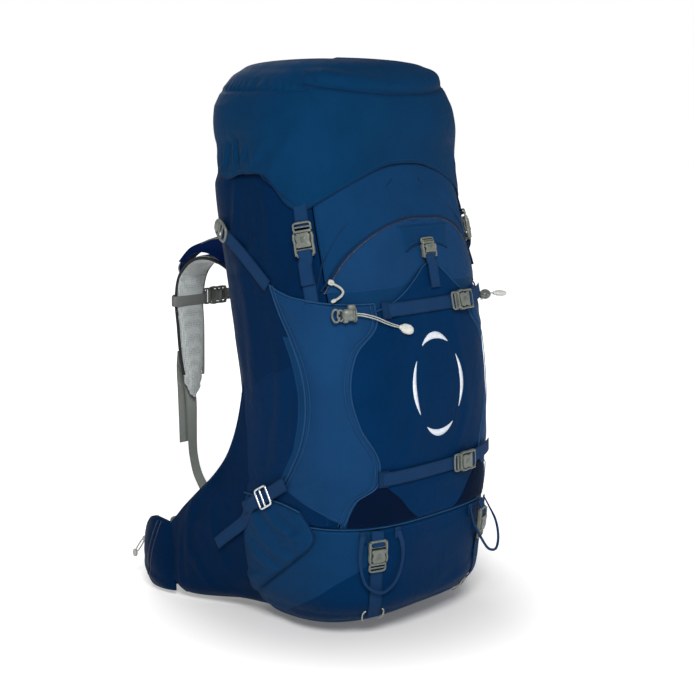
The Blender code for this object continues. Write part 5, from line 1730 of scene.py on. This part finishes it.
def sternum():
    """Chest strap: a dark band round each pad, grey webbing, and the buckle between them."""
    y = 0.2785
    for side, sign in SIDES:
        turn = np.linspace(0, 2 * np.pi, 60, endpoint=False)
        c, s = np.cos(turn), np.sin(turn)
        x = sign * (STRAP_X + 2 * MM) + 32.6 * MM * bent(c, 0.6)
        path = np.stack([x, 0.270 + 8.6 * MM * bent(s, 0.6), STERNUM_Z + 0 * x], -1)
        out = np.stack([c, 2.2 * s, 0 * c], -1)
        strand(f"sternum_band_{side}", path, out, oblong(17 * MM, 1.4 * MM, 4.0, 16), "band", "harness",
               closed=True, slot="sternum_strap")
    path = np.stack([np.linspace(-0.118, -0.050, 30), np.full(30, y), np.full(30, STERNUM_Z)], -1)
    end = path[-1]
    along, up = np.array([1.0, 0, 0]), np.array([0, 1.0, 0])
    path = np.concatenate([path, [end + along * MALE_L * 0.42 + up * 3.4 * MM]])
    webbing("sternum_strap", path, up, "grey_web", "harness", own="sternum_strap",
            width=19 * MM)
    mouth = side_release("sternum_strap", "sternum_buckle", end, along, up, "harness")
    start = mouth + along * FEMALE_L * 0.7 + up * 6.6 * MM
    route = np.stack([start, [0.006, y + 2.8 * MM, STERNUM_Z], [0.030, y + 1.2 * MM, STERNUM_Z],
                      [0.070, y + 1.2 * MM, STERNUM_Z], [0.108, y + 1.2 * MM, STERNUM_Z]])
    webbing("sternum_buckle_tail", through(route, 50), up, "grey_web", "sternum_buckle",
            slot="sternum_buckle", width=19 * MM)
    for side, sign in SIDES:
        centre = np.array([sign * 0.070, y + 1.6 * MM, STERNUM_Z])
        axes = axes_of(np.array([1.0, 0, 0]), np.array([0, 1.0, 0]))
        lock = [frame_loop(centre, axes, 16 * MM, 25 * MM, 3.4 * MM, power=5.0),
                cross_bar(centre + up * 1.2 * MM, axes, 24 * MM, 2.8 * MM)]
        body = "harness" if sign < 0 else "sternum_buckle"
        assemble(f"sternum_slide_{side}", lock, "buckle", body, slot="sternum_strap")


def back_pads():
    """Mesh-covered foam: across channels pressed into each pad, v = sum of gaussian grooves."""
    for name, half, low, high, thick, grooves in (("back_pad", 27, 0.195, 0.465, 13.4, 6),
                                                  ("lumbar_pad", 30, 0.045, 0.160, 13.4, 3)):
        rows, cols = 90, 60
        bearing, z = np.meshgrid(np.linspace(180 - half, 180 + half, cols), np.linspace(low, high, rows))
        d, _ = edge_distance(skin(BODY, bearing, z))
        step = (high - low) / grooves
        phase = (z - low) / step
        channel = np.round(phase)
        groove = hill(np.abs(phase - channel) * step, 0, 0.0035) * (channel > 0) * (channel < grooves)
        middle = hill(bearing, 180, 2.6)
        out = 3.0 * MM + (thick - 3.6) * MM * (1 - np.exp(-(d / (7 * MM)) ** 1.3))
        out = out - 3.6 * MM * groove - 4.2 * MM * middle
        points, faces = slab(skin(BODY, bearing, z, out), skin(BODY, bearing, z, 2.4 * MM))
        mesh = build_mesh(name, points, faces)
        pad = piece(name, inflate(name, mesh, voxel=4.2 * MM, cap=1.6 * MM), "pad", "pack", own=name)
        smoother(pad)
    left, right = [(147, 0.475), (147, 0.53), (147, 0.598)], [(213, 0.475), (213, 0.53), (213, 0.598)]
    panel("yoke", left, right, "side", lift=4.2 * MM, puff=0.6 * MM, low=2.4 * MM, rows=40, cols=60,
          own="yoke")


def haul_loop():
    given = [(-0.048, 0.1705, 0.650), (-0.050, 0.175, 0.634), (-0.038, 0.179, 0.614), (-0.015, 0.181, 0.605),
             (0.015, 0.181, 0.605), (0.038, 0.179, 0.614), (0.050, 0.175, 0.634), (0.048, 0.1705, 0.650)]
    path = through(given, 90)
    share = np.linspace(-1, 1, 90)
    rolled = np.exp(-(share / 0.45) ** 4)
    width = (12 - 2.0 * rolled) * MM
    thick = (2.4 + 2.6 * rolled) * MM
    webbing("haul_loop", path, (0, 1, 0), "webbing", "haul_loop", width=width, thick=thick, own="haul_loop")


# ---- hip belt -----------------------------------------------------------------------------------
WING_PLAN = [(-0.120, 0.135), (-0.150, 0.143), (-0.176, 0.166), (-0.187, 0.200), (-0.184, 0.240),
             (-0.168, 0.282)]
# Rear edge of the gusset: height, and how far back and out it reaches together (y + half width).
FIN_ROWS = [(0.008, 0.372), (0.040, 0.392), (0.070, 0.400), (0.112, 0.402), (0.126, 0.386), (0.150, 0.362),
            (0.182, 0.325),
            (0.211, 0.290), (0.244, 0.2595), (0.276, 0.2415), (0.305, 0.2305), (0.345, 0.2205),
            (0.390, 0.2120)]
FIN_START = 0.026
# Folds of the gusset and the belt's pocket: (depth, height), angle, length, width and ridge in mm.
GUSSET_FOLDS = [((0.120, 0.185), 128, 0.06, 0.007, 2.2), ((0.150, 0.130), 100, 0.06, 0.008, 2.0),
                ((0.095, 0.115), 75, 0.05, 0.008, 1.8), ((0.172, 0.080), 96, 0.05, 0.006, 1.6),
                ((0.085, 0.235), 125, 0.05, 0.008, 1.8), ((0.130, 0.055), 60, 0.04, 0.008, 1.4)]
POUCH_FOLDS = [((0.20, 0.105), 80, 0.04, 0.006, 1.2), ((0.245, 0.03), 30, 0.04, 0.007, 1.2),
               ((0.262, 0.09), 110, 0.03, 0.006, 1.0)]


def hip_belt():
    for side, sign in SIDES:
        flip = np.array([-sign, 1, 1])
        swoop(side, flip)
        belt_wing(side, sign, flip)
        hip_pocket(side, flip)
    belt_webbing()


def side_x(y, z):
    """Half width of the bag's side at depth y: half (1 - |(y - middle) / depth|^n)^(1/n)."""
    columns = np.array(BODY).T
    half, front, back, square = (smooth(z, columns[0], c) for c in columns[1:])
    across = np.clip(np.abs((y - (front + back) / 2) / ((back - front) / 2)), 0, 0.999)
    return half * (1 - across ** square) ** (1 / square)


def swoop(side, flip):
    """Gusset that sweeps from the bag's side out over the belt: x eases from the side's own x at its
    start to the belt's x, as 3t^2 - 2t^3 of y, with folds."""
    rows, cols = 110, 80
    z = np.linspace(0.008, 0.390, rows)
    stations = np.array(FIN_ROWS)
    reach = smooth(z, stations[:, 0], stations[:, 1])
    start_x = side_x(FIN_START, z) + 1.0 * MM

    def width(y, z, start_x):
        t = np.clip((y - FIN_START) / 0.150, 0, 1)
        swept = start_x + (0.1975 - start_x) * t * t * (3 - 2 * t)
        return np.maximum(swept, side_x(y, z) + 1.2 * MM) - 0.004 * ramp(z, 0.30, 0.08)

    end = reach - 0.19
    for _ in range(30):
        end = 0.5 * end + 0.5 * (reach - width(end, z, start_x))
    end = np.maximum(end, FIN_START + 0.006)
    u = np.linspace(0, 1, cols)
    y = FIN_START + (end - FIN_START)[:, None] * u
    zz = z[:, None] + 0 * y
    base = width(y, zz, start_x[:, None])
    d = np.minimum(np.minimum(end[:, None] - y, zz - 0.008), 0.390 - zz)
    puff = 2.6 * MM * hill(zz, 0.110, 0.09) * np.sin(np.pi * np.clip(u, 0, 1)) ** 0.8
    folds = 0 * y
    for at, angle, length, width, height in GUSSET_FOLDS:
        folds = folds + crease(y, zz, at, angle, length, width, height * MM, bend=0.1)
    rim = 1 - np.exp(-np.maximum(d, 0) / (3 * MM))
    free = np.clip((y - FIN_START) / 0.02, 0, 1)
    out = base + (puff + folds + 0.8 * MM * ripple(y, zz, 0.12, 41)) * rim * free - 1.6 * MM * (1 - rim)
    out = out - 0.013 * fall(zz, 0.032, 0.024) ** 2 * ramp(y, 0.05, 0.04)
    outer = np.stack([-out, y, zz], -1) * flip
    inner = np.stack([-out + 1.3 * MM, y, zz], -1) * flip
    seam = np.stack([zz, np.maximum(end[:, None] - y, 0)], -1)
    across_hip(sewn(f"hip_swoop_{side}", outer, inner, np.stack([y, zz], -1), seam, "deep", None,
                    own=f"fin_{side}"))
    across_hip(strand(f"hip_swoop_binding_{side}", outer[:, -1], [1, 0, 0.001], circle(2.2 * MM, 8),
                      "piping", None,
                      slot=f"fin_{side}"))


def belt_wing(side, sign, flip):
    """Padded wing of the belt: a flat superellipse profile, tall in the middle, along the hip's plan."""
    plan = through(np.c_[WING_PLAN, np.full(6, 0.064)], 60)
    path = plan * flip
    along = np.gradient(path, axis=0)
    up = np.cross(along, [0, 0, 1.0]) * sign
    at = np.linspace(0, 5, 60)
    tall = smooth(at, range(6), [74, 90, 103, 105, 100, 82]) * MM
    tall = tall * np.sqrt(np.clip((60 - np.arange(60)) / 5.0, 0.2, 1))
    thick = smooth(at, range(6), [7, 10, 11.5, 11.5, 11, 8]) * MM
    shape = oblong(1.0, 1.0, 3.2, 32)[None] * np.stack([tall - 2 * MM, thick], -1)[:, None]
    points, faces, uv = carried(path, up, shape)
    name = f"hip_wing_{side}"
    mesh = inflate(name, build_mesh(name, points, faces, uv), voxel=5 * MM, cap=2.4 * MM)
    pad = piece(name, mesh, "belt", f"hip_{side}", own=name)
    smoother(pad)


def hip_pocket(side, flip):
    """Bulging zipped pocket: bulge = sin(pi u)^0.55 sin(pi v)^0.5 over the wing's outer face."""
    rows, cols = 70, 90
    plan = through(np.c_[WING_PLAN, np.full(6, 0.0)], 400)[:, :2]
    u, v = np.meshgrid(np.linspace(0, 1, cols), np.linspace(0, 1, rows))
    s = 0.50 + 0.445 * u
    centre = np.stack([np.interp(s, np.linspace(0, 1, 400), plan[:, i]) for i in (0, 1)], -1)
    step = np.gradient(centre, axis=1)
    normal = np.stack([-step[..., 1], step[..., 0]], -1)
    normal /= np.linalg.norm(normal, axis=-1, keepdims=True)
    low = 0.002 + 0.012 * np.clip(u - 0.6, 0, 1) ** 2 * 6 + 0.006 * (1 - u)
    high = 0.122 - 0.030 * np.clip(u - 0.5, 0, 1) ** 1.5 * 2 - 0.006 * (2 * u - 1) ** 4
    z = low + (high - low) * v
    bulge = np.sin(np.pi * (0.02 + 0.96 * u)) ** 0.55 * np.sin(np.pi * (0.02 + 0.96 * v)) ** 0.5
    out = (6.6 + 19.5 * bulge) * MM
    zip_line = 0.28 + 0.34 * (1 - v) ** 1.4
    for shift, deep in ((0.0, 2.0), (0.085, 1.2)):
        out = out - deep * MM * np.exp(-((u - zip_line - shift) / 0.014) ** 2) * np.clip(v * 6 - 0.6, 0, 1)
    for at, angle, length, width, height in POUCH_FOLDS:
        out = out + crease(centre[..., 1], z, at, angle, length, width, height * MM, bend=0.1)
    outer = np.concatenate([centre + normal * out[..., None], z[..., None]], -1)
    back = np.concatenate([centre + normal * 6.2 * MM, z[..., None]], -1)
    d, along = edge_distance(outer)
    name = f"hip_pocket_{side}"
    made = sewn(name, outer * flip, back * flip, np.stack([s * 0.2, z], -1), np.stack([along, d], -1),
                "deep",
                f"hip_{side}", own=name)
    for tag, shift in (("front", 0.0), ("rear", 0.085)):
        line_v = np.linspace(0.16, 0.97, 160)
        line_u = 0.28 + 0.34 * (1 - line_v) ** 1.4 + shift
        path = np.stack([sample(outer[..., i], line_v, line_u) for i in range(3)], -1)
        out_dir = np.stack([sample(normal[..., i], line_v, line_u) for i in (0, 1)] + [0 * line_u], -1)
        strand(f"hip_zip_{tag}_{side}", path * flip, out_dir * flip, circle(2.6 * MM, 8), "coil",
               f"hip_{side}", teeth(160, 0.25), slot=name)
    tab_at = np.array([sample(outer[..., i], np.array([0.72]), np.array([0.93]))[0] for i in range(3)])
    turn = np.linspace(-0.1, np.pi * 2 + 0.1, 40)
    c, s = np.cos(turn), np.sin(turn)
    loop = tab_at + np.stack([-0.002 - 0.001 * c, 0.013 - 0.015 * c, -0.016 + 0.016 * c + 0.0045 * s], -1)
    parts = [carried(loop * flip, [1, 0, 0], circle(2.4 * MM, 8)),
             lump(loop[20] * flip, mm(3.2, 4, 6.5), 2.8, 9, 14),
             lump(loop[0] * flip, mm(3, 4, 4), 3.0, 9, 14)]
    assemble(f"hip_pull_{side}", parts, "grey_cord", f"hip_{side}", slot=name)


def sample(grid, v, u):
    """Values of a grid at fractions v down and u across, by bilinear steps."""
    rows, cols = grid.shape
    r, c = np.clip(v, 0, 1) * (rows - 1), np.clip(u, 0, 1) * (cols - 1)
    i, j = np.minimum(r.astype(int), rows - 2), np.minimum(c.astype(int), cols - 2)
    fr, fc = r - i, c - j
    return ((1 - fr) * ((1 - fc) * grid[i, j] + fc * grid[i, j + 1])
            + fr * ((1 - fc) * grid[i + 1, j] + fc * grid[i + 1, j + 1]))


def belt_webbing():
    z = 0.064
    plan = np.array([(-0.180, 0.256), (-0.174, 0.279), (-0.163, 0.2955), (-0.148, 0.303), (-0.128, 0.306),
                     (-0.106, 0.306)])
    path = through(np.c_[plan, np.full(6, z)], 60)
    up = through(np.array([(-1, 0.3, 0), (-0.85, 0.5, 0), (-0.6, 0.8, 0), (-0.35, 0.94, 0), (-0.1, 1, 0),
                           (0, 1, 0)]), 60)
    web = dict(width=30 * MM, low=1.6 * MM)
    end = path[-1]
    webbing("belt_strap_left", path, up, "belt_web", "hip_left", own="belt_strap_left",
            **web)
    along, out = np.array([1.0, 0, 0]), np.array([0, 1.0, 0])
    axes = axes_of(along, out)

    def at(x, y=6 * MM):
        return end + along * x + out * y

    plug = [frame_loop(at(8 * MM), axes, 18 * MM, 36 * MM, 4.4 * MM),
            cross_bar(at(6 * MM, 7 * MM), axes, 35 * MM, 3.6 * MM),
            lump(at(19 * MM), mm(5, 17, 4), 4.0, 11, 20, axes),
            lump(at(26 * MM), mm(8, 4, 2), 3.0, 9, 14, axes)]
    assemble("belt_plug", plug, "buckle", "hip_left", slot="belt_strap_left")
    mouth = np.array([0.064, 0.306, z])
    socket = [frame_loop(mouth + along * 22 * MM + out * 6 * MM, axes, 40 * MM, 36 * MM, 4.6 * MM,
                         power=4.0),
              cross_bar(mouth + along * 32 * MM + out * 7 * MM, axes, 35 * MM, 3.8 * MM)]
    for y in mm(2.2, 9.4):
        socket.append(lump(mouth + along * 12 * MM + out * y, mm(11, 15.5, 1.3), 5.0, 9, 28, axes))
    assemble("belt_socket", socket, "buckle", "hip_right", slot="belt_strap_right")
    tail = np.array([(0.092, 0.3095), (0.112, 0.306), (0.132, 0.305), (0.148, 0.302), (0.163, 0.2955),
                     (0.174, 0.279), (0.180, 0.256)])
    path = through(np.c_[tail, np.full(7, z)], 60)
    up = through(np.array([(0, 1, 0), (0.0, 1, 0), (0.1, 1, 0), (0.35, 0.94, 0), (0.6, 0.8, 0),
                           (0.85, 0.5, 0), (1, 0.3, 0)]), 60)
    webbing("belt_strap_right", path, up, "belt_web", "hip_right", own="belt_strap_right", **web)


def inner_parts():
    finish_cad("divider", "lining_plain")
    finish_cad("framesheet", "sheet")
    finish_cad("frame_rod", "silver")


STEPS = (tool_loops, bungees, boot, boot_guards, walls, collar, outer_panels, side_pockets, boot_seams,
         emblem, lid, crossing_straps, lid_straps, flap, pad_straps, side_straps, zip_pull,
         shoulder_straps, back_pads, haul_loop, hip_belt, inner_parts)
make_camera()
make_studio()
for step in STEPS:
    step()
